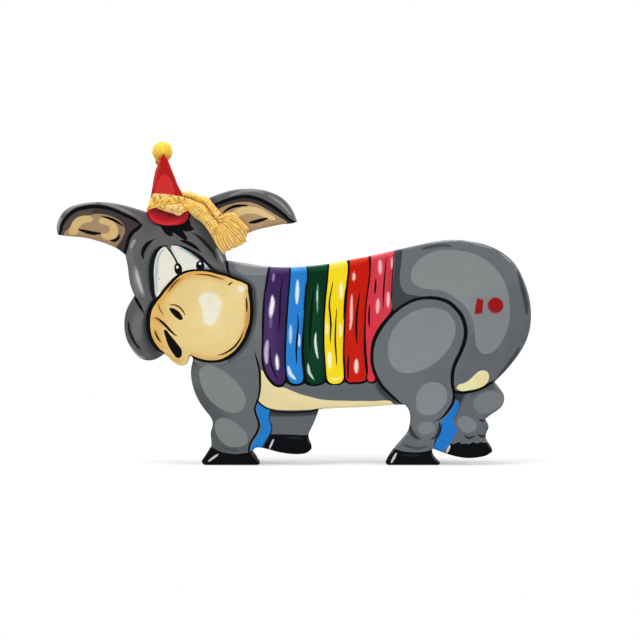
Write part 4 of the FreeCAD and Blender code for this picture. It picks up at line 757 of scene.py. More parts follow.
P.fill("eye_right", [(171.8, 245.5), (177, 245.8), (184, 249), (191, 253.5), (197, 258.5), (203, 264), (207, 269), (208.8, 271.5), (203, 270.5), (196, 270), (190, 270.5), (184, 272), (181.5, 273.5), (180.5, 270), (179, 265), (176.5, 259.5), (173.5, 254), (171.3, 249), (171.3, 246.5)], (233, 232, 221))
P.mist([(164, 249), (159.6, 254.5), (157, 262), (156.2, 272), (156.2, 284), (157, 292)], 3.4, (164, 188, 198), 0.85, 0.8, only=["eye"])
P.mist([(178, 247.4), (186, 251), (192, 255), (197, 260)], 2.6, (160, 190, 200), 0.9, 0.7, only=["eye_right"])
P.mist([(172, 248.5), (174, 253), (177, 258)], 1.6, (196, 206, 206), 0.7, 0.8, only=["eye_right"])
P.mist([(160, 291), (166, 285.5), (174, 279.6), (180, 275.6)], 2.4, (206, 196, 170), 0.6, 0.9, only=["eye"])
P.line([(165.5, 246.4), (170, 251), (174, 257), (177, 263), (179, 268), (181.4, 274.2)], [1.2, 1.8, 1.8, 1.7, 1.8], (16, 15, 16), taper=(0.15, 0.05))
P.fill("eye_corner", [(203.4, 262.2), (206.4, 265.0), (209.4, 268.6), (211.6, 271.4), (206, 271.2), (203.0, 270.4)], (206, 222, 228))
P.dab(178.2, 269.0, 3.9, 6.3, (12, 11, 12), -12, "pupil")
P.dab(200.2, 265.9, 4.3, 5.3, (12, 11, 12), -6, "pupil")
P.dab(177.3, 267.2, 1.35, 1.5, (244, 243, 238), 0, "glint")
P.dab(200.0, 263.6, 1.3, 1.3, (244, 243, 238), 0, "glint")
P.dab(159.5, 279, 0.55, 0.55, (120, 116, 108), 0, "eye")
P.fill("forelock", [(157, 221), (157, 223), (160, 226), (163, 230.5), (167, 235), (170.5, 236.6), (173, 235.5), (172.6, 232.4), (175.4, 234), (180, 237.2), (184.6, 240), (186.8, 240.2), (187.3, 238), (185.5, 235), (183, 231), (187, 231.6), (191, 230.8), (194.5, 229), (191.5, 226), (190, 220), (174, 216)], (10, 10, 12), corner=40)
P.line([(226.3, 255.5), (226.5, 260), (227, 265), (228, 270), (229.8, 275)], [2.2, 2.8, 2.8, 2.8, 2.4], taper=(0.02, 0.1))
P.line([(133.2, 294), (137, 301), (141, 308), (144.5, 314)], [2.0, 3.2, 3.0, 1.8], taper=(0.15, 0.4))
P.line([(147.5, 209), (149.2, 216), (153, 221), (159.6, 224.6), (168, 226), (176, 225.4), (183.4, 222.6), (188, 217.6), (190, 211)], 3.2, taper=(0.1, 0.1))

# muzzle
P.mist([(176, 275.5), (186, 271), (200, 269.2), (214, 270.4), (230, 274.6), (244, 280.4), (251, 285.6), (254, 300), (254.2, 316), (250, 334), (241, 349.5), (229, 359.5)], 5.0, (44, 46, 48), 0.7, 0.7, lens=False, skip=["eye", "eye_right", "pupil", "glint"])
P.mist([(158, 297), (150.5, 306), (146.6, 318), (146.6, 330), (150.2, 341), (157, 350)], 5.0, (40, 41, 43), 0.8, 0.8, lens=False, skip=["eye"])
P.fill("muzzle_line", [(154.5, 298.9), (157.9, 296.0), (162.4, 290.0), (167.4, 284.0), (172.5, 278.4), (178.1, 274.2), (184.2, 271.1), (190.9, 269.5), (198.0, 269.1), (205.1, 269.2), (212.1, 270.1), (219.2, 271.6), (227.2, 273.9), (236.3, 277.3), (244.3, 280.9), (250.0, 284.2), (251.7, 287.8), (252.5, 295.9), (253.3, 303.9), (253.6, 312.0), (252.9, 320.6), (250.9, 329.7), (247.3, 338.8), (242.6, 346.7), (236.8, 353.4), (230.0, 358.4), (222.2, 361.7), (213.5, 362.9), (204.4, 362.3), (195.7, 359.7), (189.8, 356.7), (186.6, 364.4), (182.0, 367.8), (171.5, 364.6), (163.0, 353.4), (157.5, 350.4), (152.4, 344.9), (148.6, 337.8), (146.6, 330.1), (146.1, 321.0), (146.8, 312.8), (149.1, 306.2), (151.4, 301.6)], (10, 10, 11))
P.fill("muzzle", [(157.5, 301), (161, 297), (165, 291.5), (170, 286), (175, 280.5), (180, 276), (186, 273), (192, 271.6), (198, 271.2), (204, 271.4), (211, 272.5), (218, 274.5), (225, 276), (230, 278), (236, 280.3), (243, 282.8), (247.3, 285.5), (247.8, 288), (248, 292), (249, 298), (249.7, 305), (249.8, 313), (249.3, 320), (248, 326), (246.5, 330), (244, 337), (239.5, 344.5), (234.5, 350.5), (228, 355.5), (221, 359), (213, 360.2), (205, 359.7), (197, 357.5), (190, 354.7), (188.3, 354.2), (188, 356), (187, 359.5), (185, 362.8), (182.5, 366), (176, 366), (170, 362), (166, 357), (165, 353.5), (160, 349), (156, 344), (152.5, 337.5), (150.8, 331), (150.3, 324), (150.8, 316), (152.5, 309), (155, 304.5)], (233, 206, 139))
MZ = ["muzzle"]
P.wash([(150, 300), (162, 298), (168, 312), (164, 332), (172, 350), (186, 356), (186, 368), (150, 368), (146, 330)], (222, 176, 88), 0.75, 9, only=MZ)
P.wash([(148, 330), (158, 330), (168, 350), (178, 362), (170, 366), (152, 350)], (214, 172, 92), 0.7, 4, only=MZ)
P.mist([(156, 304), (164, 294.5), (173, 284.5), (184, 275.5), (196, 273), (212, 275), (226, 278.5)], 9, (226, 170, 84), 0.8, 0.8, only=MZ, lens=False)
P.mist([(165, 293), (174, 284), (184, 277.5)], 5, (208, 142, 62), 0.55, 0.9, only=MZ)
P.mist([(226, 278.6), (238, 283.6), (246.5, 289)], 7, (238, 204, 118), 0.8, 0.8, only=MZ)
P.mist([(247.8, 292), (248.6, 310), (247, 326), (242, 339), (233, 350), (222, 357), (208, 358.6), (194, 355.4)], 6.2, (204, 158, 74), 0.85, 0.8, only=MZ, lens=False)
P.mist([(248, 308), (246.6, 322), (243, 334)], 3.4, (196, 130, 46), 0.6, 0.8, only=MZ)
P.wash([(188, 345), (225, 340), (240, 345), (226, 358), (200, 360), (186, 354)], (229, 198, 126), 0.6, 6, only=MZ)
P.cloud(213, 315, 22, 30, (239, 218, 158), 0.75, 0.6, only=MZ)
P.cloud(236, 300, 11, 18, (238, 214, 150), 0.6, 0.6, only=MZ)
P.wash([(201, 295), (205, 293), (211, 292.6), (216, 294.5), (220, 299), (221.5, 304), (220.8, 310), (218.5, 315.5), (216, 321), (212.5, 324.8), (208.5, 325.8), (205, 323.5), (203, 318), (202.2, 312), (201.6, 307), (199.5, 303.5), (198.3, 299.5)], (240, 236, 214), 1.0, 1.5, only=MZ)
P.cloud(241.3, 288.7, 3.7, 3.2, (232, 233, 220), 1.0, 0.4, only=MZ)
P.fill("muzzle_lip", [(176, 336), (181, 343), (185.5, 349.5), (189.8, 353.8), (189.5, 357), (188.6, 360.8), (186.8, 364.4), (184, 369), (176, 367), (168, 358), (165, 353.5), (163, 348), (166, 350), (170, 354), (174, 358.6), (179, 360.4), (183.4, 358.6), (184.4, 353), (182.6, 347), (179, 340.6)], (226, 199, 135))
P.mist([(166, 352), (172, 358), (179, 361.8), (184.6, 359.6)], 2.2, (212, 162, 82), 0.8, 0.9, only=["muzzle_lip"])
for line, w, tone in (
    ([(227.8, 285.7), (230, 283.6), (232.8, 282)], 1.7, (84, 56, 24)),
    ([(228.6, 285.6), (229.6, 286.6)], 1.1, (84, 56, 24)),
    ([(195, 274.2), (204, 274.6), (212, 276), (220, 278.5), (224, 279.6)], 1.5, (74, 46, 18)),
    ([(180.5, 278.1), (175, 283), (171, 288), (168.2, 291.8)], 1.5, (70, 42, 16)),
    ([(158.6, 303.4), (159.3, 308), (161.5, 312), (163.8, 315.3)], 1.2, (110, 66, 22)),
    ([(246.3, 297), (246.7, 305), (246.7, 313)], 2.0, (60, 36, 12)),
    ([(243.2, 332), (239.5, 340), (234.5, 346.5), (228, 351.5), (222, 354.3), (217.5, 355.2)], 2.0, (48, 28, 10)),
    ([(154.8, 330), (156, 334), (158.5, 339), (161.3, 342.6)], 2.1, (70, 38, 12)),
    ([(169.3, 304.9), (174, 304.8), (179, 307), (182.5, 310.5), (185.3, 315.5)], 1.8, (104, 64, 24)),
    ([(155, 317.1), (158, 318.8), (162, 322), (166, 326), (170, 330.3), (174, 334), (177, 336)], 2.7, (40, 22, 8)),
):
    P.line(line, w, tone, taper=(0.4, 0.4))
P.mist([(152, 317.5), (158, 320.5), (163, 325.5)], 3.2, (214, 134, 48), 0.7, 0.9, only=MZ)
P.mist([(184, 274.5), (194, 273), (206, 273.6), (220, 277)], 3.0, (232, 168, 70), 0.6, 0.9, only=MZ)
P.fill("nostril", [(169, 308.5), (171.5, 307.8), (175, 309), (179, 311.8), (181.5, 315), (183, 318.5), (182, 320), (180, 320), (176.5, 318), (173, 314.5), (170.2, 311)], (12, 11, 10))
P.fill("mouth", [(164, 329.5), (166, 330), (169, 333.5), (174, 339.5), (178, 344.5), (181.5, 349.5), (182, 352.5), (181.2, 356.5), (179, 358.3), (177, 357.8), (173, 353.5), (169.5, 348), (167, 342.5), (165.2, 336.5), (164, 332)], (13, 12, 11))
for k in range(26):  # flecks of the brush in the cream
    x, y = 190 + rng.random() * 52, 285 + rng.random() * 66
    P.cloud(x, y, 2.5 + 3 * rng.random(), 2.5 + 3 * rng.random(), (236, 210, 146) if rng.random() < 0.5 else (228, 198, 128), 0.22, 0.9, only=MZ)

# painted highlight along the glossy eased top edge of the back and the blanket, over the artwork's own airbrushed light
P.mist([(232, 261.5), (240, 263.6), (252, 265.6), (268, 267)], 1.8, (190, 192, 194), 0.7, 0.9, only=["neck_light"])
for nm, tone, top_edge_highlight, pts in ROLLS:
    P.wash([(262, 252), (300, 263), (330, 261), (370, 253), (396, 247), (396, 254), (370, 260), (330, 269), (300, 271), (262, 273)], top_edge_highlight, 0.8, 2.2, only=[nm])

# ---- the hat
H = Painting()
H.fill("hat", [(140, 140), (200, 140), (200, 240), (140, 240)], (186, 23, 19))
H.fill("hat_light", [(154.8, 196), (156, 188), (158.2, 181), (161, 176.4), (164.8, 174.8), (168.6, 176.4), (171.6, 181), (173.8, 188), (175, 196)], (210, 48, 46))
H.wash([(150, 150), (158, 160), (152, 190), (146, 212)], (160, 22, 20), 0.3, 3, only=["hat"])
H.wash([(172, 168), (188, 196), (192, 210), (178, 200), (173, 182)], (164, 28, 26), 0.55, 3, only=["hat"])
# painted shadow of the scarf over the top of the brim
H.wash([(148, 206), (190, 206), (186, 215), (176, 219), (160, 216), (152, 211)], (142, 20, 40), 0.9, 3)
H.mist([(150, 214), (154, 219.5), (162, 223), (172, 223.6), (181, 220.6)], 4.0, (216, 42, 54), 0.95, 0.7)
# more of the scarf's painted shadow on the brim, just below the scarf
H.mist([(166, 214.6), (174, 215.2), (182, 213)], 3.6, (112, 16, 34), 0.8, 0.9)
H.mist([(150.5, 212.5), (156, 211), (164, 213)], 3.0, (120, 16, 32), 0.7, 0.9)
H.mist([(180, 220.4), (185.4, 216.6), (188, 212.4)], 2.6, (190, 34, 52), 0.85, 0.8)
# painted highlight along the hat card's eased left edge
H.mist([(160.6, 160), (156.6, 174), (153.4, 190)], 1.8, (222, 86, 80), 0.5, 0.9)

# ------------------------------------------------------------------ materials
class Nodes:
    def __init__(self, name):
        self.m = bpy.data.materials.new(name)
        self.m.use_nodes = True
        self.t = self.m.node_tree
        self.b = next(n for n in self.t.nodes if n.type == "BSDF_PRINCIPLED")
        self.obj = None

    def new(self, kind, **values):
        n = self.t.nodes.new(kind)
        for k, v in values.items():
            setattr(n, k, v)
        return n

    def link(self, a, b):
        self.t.links.new(a, b)

    def place(self, scale=(1, 1, 1), turn=(0, 0, 0)):
        if self.obj is None:
            self.obj = self.new("ShaderNodeTexCoord")
        n = self.new("ShaderNodeMapping")
        n.inputs["Scale"].default_value = scale
        n.inputs["Rotation"].default_value = turn
        self.link(self.obj.outputs["Object"], n.inputs["Vector"])
        return n.outputs[0]

    def noise(self, scale, detail=4.0, rough=0.55, stretch=(1, 1, 1), turn=(0, 0, 0), distortion=0.0):
        n = self.new("ShaderNodeTexNoise")
        n.inputs["Scale"].default_value = scale
        n.inputs["Detail"].default_value = detail
        n.inputs["Roughness"].default_value = rough
        n.inputs["Distortion"].default_value = distortion
        self.link(self.place(stretch, turn), n.inputs["Vector"])
        return n.outputs["Fac"]

    def spread(self, fac, a, b, lo, hi):
        n = self.new("ShaderNodeMapRange")
        n.clamp = True
        for k, v in zip(("From Min", "From Max", "To Min", "To Max"), (a, b, lo, hi)):
            n.inputs[k].default_value = v
        self.link(fac, n.inputs["Value"])
        return n.outputs[0]

    def mix(self, fac, a, b, mode="MIX"):
        n = self.new("ShaderNodeMix", data_type="RGBA", blend_type=mode)
        for sock, v in ((n.inputs[0], fac), (n.inputs[6], a), (n.inputs[7], b)):
            if hasattr(v, "is_output") or isinstance(v, bpy.types.NodeSocket):
                self.link(v, sock)
            elif isinstance(v, (int, float)):
                sock.default_value = v
            else:
                sock.default_value = v
        return n.outputs[2]

    def sum(self, a, b, op="ADD", k=None):
        n = self.new("ShaderNodeMath", operation=op)
        for sock, v in zip(n.inputs, (a, b)):
            if isinstance(v, bpy.types.NodeSocket):
                self.link(v, sock)
            else:
                sock.default_value = v
        return n.outputs[0]

    def bump(self, height, strength, distance):
        n = self.new("ShaderNodeBump")
        n.inputs["Strength"].default_value = strength
        n.inputs["Distance"].default_value = distance
        self.link(height, n.inputs["Height"])
        self.link(n.outputs[0], self.b.inputs["Normal"])
        return n

    def set(self, **values):
        for k, v in values.items():
            self.b.inputs[k.replace("_", " ")].default_value = v
        return self

    def ramp(self, fac, stops, constant=False):
        n = self.new("ShaderNodeValToRGB")
        r = n.color_ramp
        r.interpolation = "CONSTANT" if constant else "LINEAR"
        while len(r.elements) > 1:
            r.elements.remove(r.elements[-1])
        r.elements[0].position, r.elements[0].color = stops[0]
        for p, c in stops[1:]:
            r.elements.new(p).color = c
        self.link(fac, n.inputs[0])
        return n.outputs[0]


def enamel(name, gain=1.0, rough=(0.2, 0.29), wave=0.28):
    """Brush-laid gloss enamel over board, coloured by the painting."""
    k = Nodes(name)
    at = k.new("ShaderNodeAttribute", attribute_name="paint")
    fine = k.noise(420, 3, 0.6)
    broad = k.noise(26, 4, 0.6)
    brushed = k.noise(90, 3, 0.6, stretch=(0.35, 1, 2.4), turn=(0, 0.5, 0))
    tone = k.sum(k.spread(broad, 0.3, 0.7, 0.965, 1.025), k.spread(brushed, 0.3, 0.7, 0.985, 1.014), "MULTIPLY")
    tone = k.sum(tone, k.spread(fine, 0.3, 0.7, 0.992, 1.008), "MULTIPLY")
    v = k.new("ShaderNodeVectorMath", operation="SCALE")
    k.link(at.outputs["Color"], v.inputs[0])
    k.link(tone, v.inputs[3])
    k.link(v.outputs[0], k.b.inputs["Base Color"])
    k.link(k.spread(k.sum(broad, fine), 0.7, 1.3, rough[0], rough[1]), k.b.inputs["Roughness"])
    k.set(IOR=1.47, Specular_IOR_Level=0.3, Coat_Weight=0.12, Coat_Roughness=0.08)
    height = k.sum(k.sum(brushed, 0.35, "MULTIPLY"), k.sum(k.noise(14, 2, 0.5), 2.0, "MULTIPLY"))
    height = k.sum(height, k.sum(fine, 0.03, "MULTIPLY"))
    k.bump(height, wave, 0.0006)
    return k.m


def kraft(name, base=(178, 138, 96), dark=(148, 110, 74), flutes="x", strength=0.5):
    """Raw corrugated board: long fibres, specks, and the flutes showing faintly through the liner."""
    k = Nodes(name)
    fibre = k.noise(260, 5, 0.65, stretch=(1, 1, 5) if flutes == "x" else (5, 1, 1))
    cloudy = k.noise(18, 4, 0.6)
    speck = k.noise(900, 2, 0.5)
    pulp = k.noise(120, 6, 0.7)
    c = k.mix(k.spread(cloudy, 0.3, 0.7, 0, 1), rgba(dark), rgba(base))
    c = k.mix(k.spread(fibre, 0.35, 0.7, 0, 0.55), c, rgba(tuple(min(255, v + 26) for v in base)))
    c = k.mix(k.spread(speck, 0.66, 0.72, 0, 0.55), c, rgba(tuple(int(v * 0.62) for v in dark)))
    c = k.mix(k.spread(pulp, 0.56, 0.72, 0, 0.35), c, rgba(tuple(int(v * 0.8) for v in base)))
    wave = k.new("ShaderNodeTexWave", wave_type="BANDS", bands_direction="X" if flutes == "x" else "Z", wave_profile="SIN")
    wave.inputs["Scale"].default_value = 45.0
    wave.inputs["Distortion"].default_value = 0.6
    wave.inputs["Detail"].default_value = 1.0
    wave.inputs["Detail Scale"].default_value = 0.4
    k.link(k.place(), wave.inputs["Vector"])
    c = k.mix(k.spread(wave.outputs["Fac"], 0.0, 0.35, 0.16, 0.0), c, rgba(tuple(int(v * 0.84) for v in dark)))
    k.link(c, k.b.inputs["Base Color"])
    k.link(k.spread(fibre, 0.3, 0.7, 0.78, 0.92), k.b.inputs["Roughness"])
    k.set(Specular_IOR_Level=0.25)
    k.bump(k.sum(k.sum(wave.outputs["Fac"], 0.5, "MULTIPLY"), k.sum(fibre, pulp)), strength, 0.0005)
    return k.m


def rim_paint(name):
    """Rolled-on enamel of the rims: grey, the blanket's stripes carried over the saddle, black at the soles."""
    k = Nodes(name)
    if k.obj is None:
        k.obj = k.new("ShaderNodeTexCoord")
    wobble = k.noise(30, 3, 0.6)
    sep = k.new("ShaderNodeSeparateXYZ")
    k.link(k.obj.outputs["Object"], sep.inputs[0])
    x = k.sum(sep.outputs["X"], k.spread(wobble, 0.3, 0.7, -0.0022, 0.0022))
    z = k.sum(sep.outputs["Z"], k.spread(wobble, 0.3, 0.7, -0.002, 0.002))
    lo, hi = -0.06, 0.16

    def at(px):
        return ((px - 293.82) * 1.25 * MM - lo) / (hi - lo)

    grey, black = rgba((101, 104, 108)), rgba((14, 14, 16))
    stops = [(0.0, grey), (at(268.2), black), (at(270.4), rgba((70, 46, 100))), (at(289.2), black), (at(291.1), rgba((45, 139, 221))),
             (at(306), black), (at(308), rgba((7, 56, 35))), (at(327.8), black), (at(329.8), rgba((249, 222, 33))),
             (at(346.3), black), (at(349.8), rgba((206, 34, 17))), (at(368.6), black), (at(371), rgba((217, 62, 78))),
             (at(394.2), black), (at(396.6), grey)]
    bands = k.ramp(k.spread(x, lo, hi, 0, 1), stops, True)
    up = k.spread(z, 0.215, 0.2151, 0, 1)
    c = k.mix(up, grey, bands)
    sole = k.spread(z, 0.021, 0.0195, 0, 1)
    c = k.mix(sole, c, rgba((10, 11, 14)))
    far = k.spread(x, -0.048, -0.047, 0, 1)
    tone = k.spread(k.noise(34, 4, 0.6), 0.3, 0.7, 0.86, 1.08)
    v = k.new("ShaderNodeVectorMath", operation="SCALE")
    k.link(c, v.inputs[0])
    k.link(tone, v.inputs[3])
    k.link(v.outputs[0], k.b.inputs["Base Color"])
    stip = k.noise(700, 3, 0.6)
    flute = k.noise(160, 3, 0.5, stretch=(1, 0.05, 1))
    k.link(k.spread(stip, 0.3, 0.7, 0.36, 0.52), k.b.inputs["Roughness"])
    k.set(Specular_IOR_Level=0.4, Coat_Weight=0.15, Coat_Roughness=0.2)
    k.bump(k.sum(k.sum(stip, 0.35, "MULTIPLY"), flute), 0.5, 0.0006)
    return k.m


def tape_stuff(name):
    k = Nodes(name)
    fib = k.noise(320, 5, 0.7, stretch=(1, 1, 4))
    blot = k.noise(40, 4, 0.6)
    c = k.mix(k.spread(blot, 0.3, 0.7, 0, 1), rgba((158, 116, 72)), rgba((184, 142, 92)))
    c = k.mix(k.spread(fib, 0.4, 0.75, 0, 0.4), c, rgba((206, 168, 118)))
    k.link(c, k.b.inputs["Base Color"])
    k.link(k.spread(blot, 0.3, 0.7, 0.42, 0.6), k.b.inputs["Roughness"])
    k.set(Specular_IOR_Level=0.4)
    k.bump(k.sum(fib, k.sum(k.noise(60, 3, 0.6, distortion=1.5), 1.6, "MULTIPLY")), 0.6, 0.0005)
    return k.m


def wood(name):
    k = Nodes(name)
    grain = k.noise(60, 5, 0.65, stretch=(9, 0.6, 9), distortion=1.2)
    fine = k.noise(500, 3, 0.6, stretch=(4, 0.4, 4))
    c = k.ramp(grain, [(0.3, rgba((170, 122, 72))), (0.5, rgba((206, 164, 108))), (0.62, rgba((188, 140, 86))), (0.75, rgba((222, 184, 130)))])
    c = k.mix(k.spread(fine, 0.5, 0.75, 0, 0.35), c, rgba((150, 104, 60)))
    k.link(c, k.b.inputs["Base Color"])
    k.link(k.spread(fine, 0.3, 0.7, 0.5, 0.65), k.b.inputs["Roughness"])
    k.bump(k.sum(grain, fine), 0.3, 0.0004)
    return k.m


def metal(name, base=(206, 164, 84), dull=(150, 112, 56), rough=(0.2, 0.36)):
    k = Nodes(name)
    tarnish = k.noise(160, 5, 0.6)
    scuff = k.noise(900, 3, 0.6, stretch=(1, 1, 0.2))
    c = k.mix(k.spread(tarnish, 0.42, 0.72, 0, 0.8), rgba(base), rgba(dull))
    k.link(c, k.b.inputs["Base Color"])
    k.link(k.spread(k.sum(tarnish, scuff), 0.7, 1.3, rough[0], rough[1]), k.b.inputs["Roughness"])
    k.set(Metallic=1.0)
    k.bump(scuff, 0.15, 0.0002)
    return k.m


def sticker(name):
    k = Nodes(name)
    blot = k.noise(70, 4, 0.6)
    tooth = k.noise(600, 4, 0.6)
    c = k.mix(k.spread(blot, 0.3, 0.7, 0, 1), rgba((146, 4, 8)), rgba((160, 6, 10)))
    c = k.mix(k.spread(tooth, 0.6, 0.75, 0, 0.25), c, rgba((172, 20, 24)))
    k.link(c, k.b.inputs["Base Color"])
    k.link(k.spread(tooth, 0.3, 0.7, 0.4, 0.55), k.b.inputs["Roughness"])
    k.set(Specular_IOR_Level=0.2)
    k.bump(k.sum(tooth, blot), 0.25, 0.0003)
    return k.m


def crepe(name, streak=(1, 1, 1), turn=(0, 0, 0), rough=0.72):
    """Crinkled crepe paper, coloured strand by strand."""
    k = Nodes(name)
    at = k.new("ShaderNodeAttribute", attribute_name="paint")
    fine = k.noise(900, 4, 0.65)
    mid = k.noise(240, 4, 0.6)
    tone = k.sum(k.spread(fine, 0.3, 0.7, 0.93, 1.08), k.spread(mid, 0.3, 0.7, 0.93, 1.08), "MULTIPLY")
    v = k.new("ShaderNodeVectorMath", operation="SCALE")
    k.link(at.outputs["Color"], v.inputs[0])
    k.link(tone, v.inputs[3])
    speck = k.spread(k.noise(420, 2, 0.5), 0.69, 0.74, 0, 0.35)
    c = k.mix(speck, v.outputs[0], rgba((176, 104, 48)))
    k.link(c, k.b.inputs["Base Color"])
    k.link(k.spread(fine, 0.3, 0.7, rough - 0.08, rough + 0.1), k.b.inputs["Roughness"])
    k.set(Specular_IOR_Level=0.3, Sheen_Weight=0.15, Sheen_Roughness=0.5)
    k.bump(k.sum(fine, k.sum(mid, 1.6, "MULTIPLY")), 0.4, 0.0004)
    return k.m


# ------------------------------------------------------------------ boards
BOARD_LOOP = outline(BOARD)
HAT_LOOP = outline(HAT, 0.7)
GRID = 1.7
front, LABELS = painted_board("painted_board_front", BOARD_LOOP, P, (101, 104, 107), -34.0, -28.0, 3.4, GRID, (176, 136, 94))
front.data.materials.append(enamel("gloss_enamel"))
front.data.materials.append(kraft("board_back_kraft"))
idx = np.zeros(len(front.data.polygons), np.int32)
for p in front.data.polygons:
    if len(p.vertices) > 4:
        idx[p.index] = 1
front.data.polygons.foreach_set("material_index", idx)
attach(front, "shell")
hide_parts("front_panel")

hat, _ = painted_board("party_hat_card", HAT_LOOP, H, (182, 33, 29), -37.0, -34.0, 1.5, 1.3, (150, 30, 28))
hat.data.materials.append(enamel("hat_enamel", rough=(0.34, 0.46), wave=0.5))
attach(hat, "shell")
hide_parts("hat_panel")


# ------------------------------------------------------------------ paper: strands and wads
class Soup:
    """Closed bodies gathered into one mesh, with a colour for each face."""

    def __init__(self):
        self.v, self.f, self.c, self.n = [], [], [], 0

    def add(self, verts, faces, colours):
        self.v.append(np.asarray(verts, float))
        self.f += [tuple(int(i) + self.n for i in f) for f in faces]
        self.c += list(colours)
        self.n += len(verts)

    def build(self, name, material, smooth_on=True):
        me = bpy.data.meshes.new(name)
        me.from_pydata([tuple(p) for p in np.concatenate(self.v) * MM], [], self.f)
        at = me.color_attributes.new("paint", "FLOAT_COLOR", "CORNER")
        rows = []
        for f, c in zip(self.f, self.c):
            c = np.asarray(c, float)
            rows.append(np.tile(c, (len(f), 1)) if c.ndim == 1 else c)
        rows = np.concatenate(rows)
        at.data.foreach_set("color", np.concatenate([rows, np.ones((len(rows), 1))], 1).astype(np.float32).ravel())
        me.polygons.foreach_set("use_smooth", np.full(len(self.f), smooth_on))
        me.materials.append(material)
        me.update()
        ob = bpy.data.objects.new(name, me)
        bpy.context.scene.collection.objects.link(ob)
        return ob


def ribbon(soup, path, up, width, thick, twist, tones, taper=(0.0, 0.0), sides=6):
    """A flat crinkled strip along path (n,3): up gives its face direction at each point, twist its roll there."""
    n = len(path)
    d = np.gradient(path, axis=0)
    d /= np.maximum(np.linalg.norm(d, axis=1), 1e-9)[:, None]
    side = np.cross(d, up)
    side /= np.maximum(np.linalg.norm(side, axis=1), 1e-9)[:, None]
    face = np.cross(side, d)
    co, si = np.cos(twist)[:, None], np.sin(twist)[:, None]
    s2, f2 = side * co + face * si, face * co - side * si
    t = np.linspace(0, 1, n)
    w = np.asarray(width) * np.ones(n)
    if taper[0]:
        w = w * np.clip(0.25 + t / taper[0], 0, 1)
    if taper[1]:
        w = w * np.clip(0.12 + (1 - t) / taper[1], 0, 1)
    ring = [(math.cos(2 * math.pi * k / sides), math.sin(2 * math.pi * k / sides)) for k in range(sides)]
    V = np.concatenate([path + s2 * (w * 0.5 * a)[:, None] + f2 * (thick * 0.5 * b) for a, b in ring])
    V = V.reshape(sides, n, 3).transpose(1, 0, 2).reshape(-1, 3)
    F, C = [], []
    for i in range(n - 1):
        for k in range(sides):
            a, b = i * sides + k, i * sides + (k + 1) % sides
            F.append((a, b, b + sides, a + sides))
            # painted shade: each strand is coloured darker at its edges, so lines of shade show between strands
            fa, fb = (0.62 + 0.40 * abs(math.sin(2 * math.pi * q / sides)) for q in (k, k + 1))
            tn = tones[min(i, len(tones) - 1)]
            C.append(np.array([tn * fa, tn * fb, tn * fb, tn * fa]))
    F.append(tuple(range(sides))[::-1])
    C.append(tones[0])
    F.append(tuple((n - 1) * sides + k for k in range(sides)))
    C.append(tones[-1])
    soup.add(V, F, C)


def resample(points, n):
    c = smooth(points, False, step=1.0, corner=80)
    seg = np.linalg.norm(np.diff(c, axis=0), axis=1)
    t = np.concatenate([[0], np.cumsum(seg)]) / seg.sum()
    s = np.linspace(0, 1, n)
    return np.stack([np.interp(s, t, c[:, 0]), np.interp(s, t, c[:, 1])], 1)


PAPER = [(255, 222, 112), (255, 214, 96), (250, 204, 92), (255, 218, 128), (248, 196, 124), (246, 200, 84), (255, 228, 146), (240, 184, 84), (255, 220, 104)]


def strand_field(soup, edge_a, edge_b, depth, count, seed, width=3.0, thick=1.0, drift=0.3, u0=0.0, u1=1.0, fray=0.0, wave=0.5, tones=PAPER, turns=1.2, crimp=0.5):
    """Twisted strands laid side by side between two edge lines (x, z), front surface at depth(u, v)."""
    r = random.Random(seed)
    N = 110
    A, B = resample(edge_a, N), resample(edge_b, N)
    for i in range(count):
        v0 = (i + 0.5) / count + r.uniform(-0.4, 0.4) / count
        a0 = u0 + r.uniform(0, 0.03)
        a1 = u1 - fray * r.random() ** 1.5
        n = max(12, int((a1 - a0) * 90))
        u = np.linspace(a0, a1, n)
        k1, k2, k3 = r.uniform(0, 99), r.uniform(0, 99), r.uniform(0, 99)
        wob = np.array([noise.noise(Vector((k1, s * 7, 0))) for s in u])
        roll = np.array([noise.noise(Vector((k2, s * 9, 3))) for s in u]) * turns
        puff = np.array([noise.noise(Vector((k3, s * 22, 5))) for s in u])
        v = np.clip(v0 + drift * (u - 0.5) * (1 if drift else 0) + wob * 0.10, 0.01, 0.99)
        if drift:
            v = np.abs(((v0 + drift * (u - a0) + wob * 0.08) + 1) % 2 - 1)
            v = np.clip(v, 0.02, 0.98)
        idx = u * (N - 1)
        lo = np.clip(idx.astype(int), 0, N - 2)
        f = (idx - lo)[:, None]
        pa = A[lo] * (1 - f) + A[lo + 1] * f
        pb = B[lo] * (1 - f) + B[lo + 1] * f
        xz = pa * (1 - v[:, None]) + pb * v[:, None]
        y = np.array([depth(a, b) for a, b in zip(u, v)]) + puff * wave + r.uniform(-0.5, 0.5) * thick
        path = np.stack([xz[:, 0], y, xz[:, 1]], 1)
        e = 0.04
        tilt = np.array([(depth(a, min(1, b + e)) - depth(a, max(0, b - e))) for a, b in zip(u, v)])
        span = np.linalg.norm(pb - pa, axis=1) * 2 * e
        across = (pb - pa) / np.maximum(np.linalg.norm(pb - pa, axis=1), 1e-6)[:, None]
        slope = tilt / np.maximum(span, 1e-6)
        up = np.stack([across[:, 0] * slope, -np.ones(n), across[:, 1] * slope], 1)
        up /= np.linalg.norm(up, axis=1)[:, None]
        w = width * r.uniform(0.7, 1.3) * (1 + 0.35 * puff)
        tone = lin(tones[r.randrange(len(tones))])
        shade = [tone * (1 + crimp * 0.35 * noise.noise(Vector((k3 + 7, s * 40, 1)))) for s in u]
        ribbon(soup, path, up, w, thick * r.uniform(0.8, 1.2), roll, shade, taper=(0.05, 0.10 if fray else 0.06))


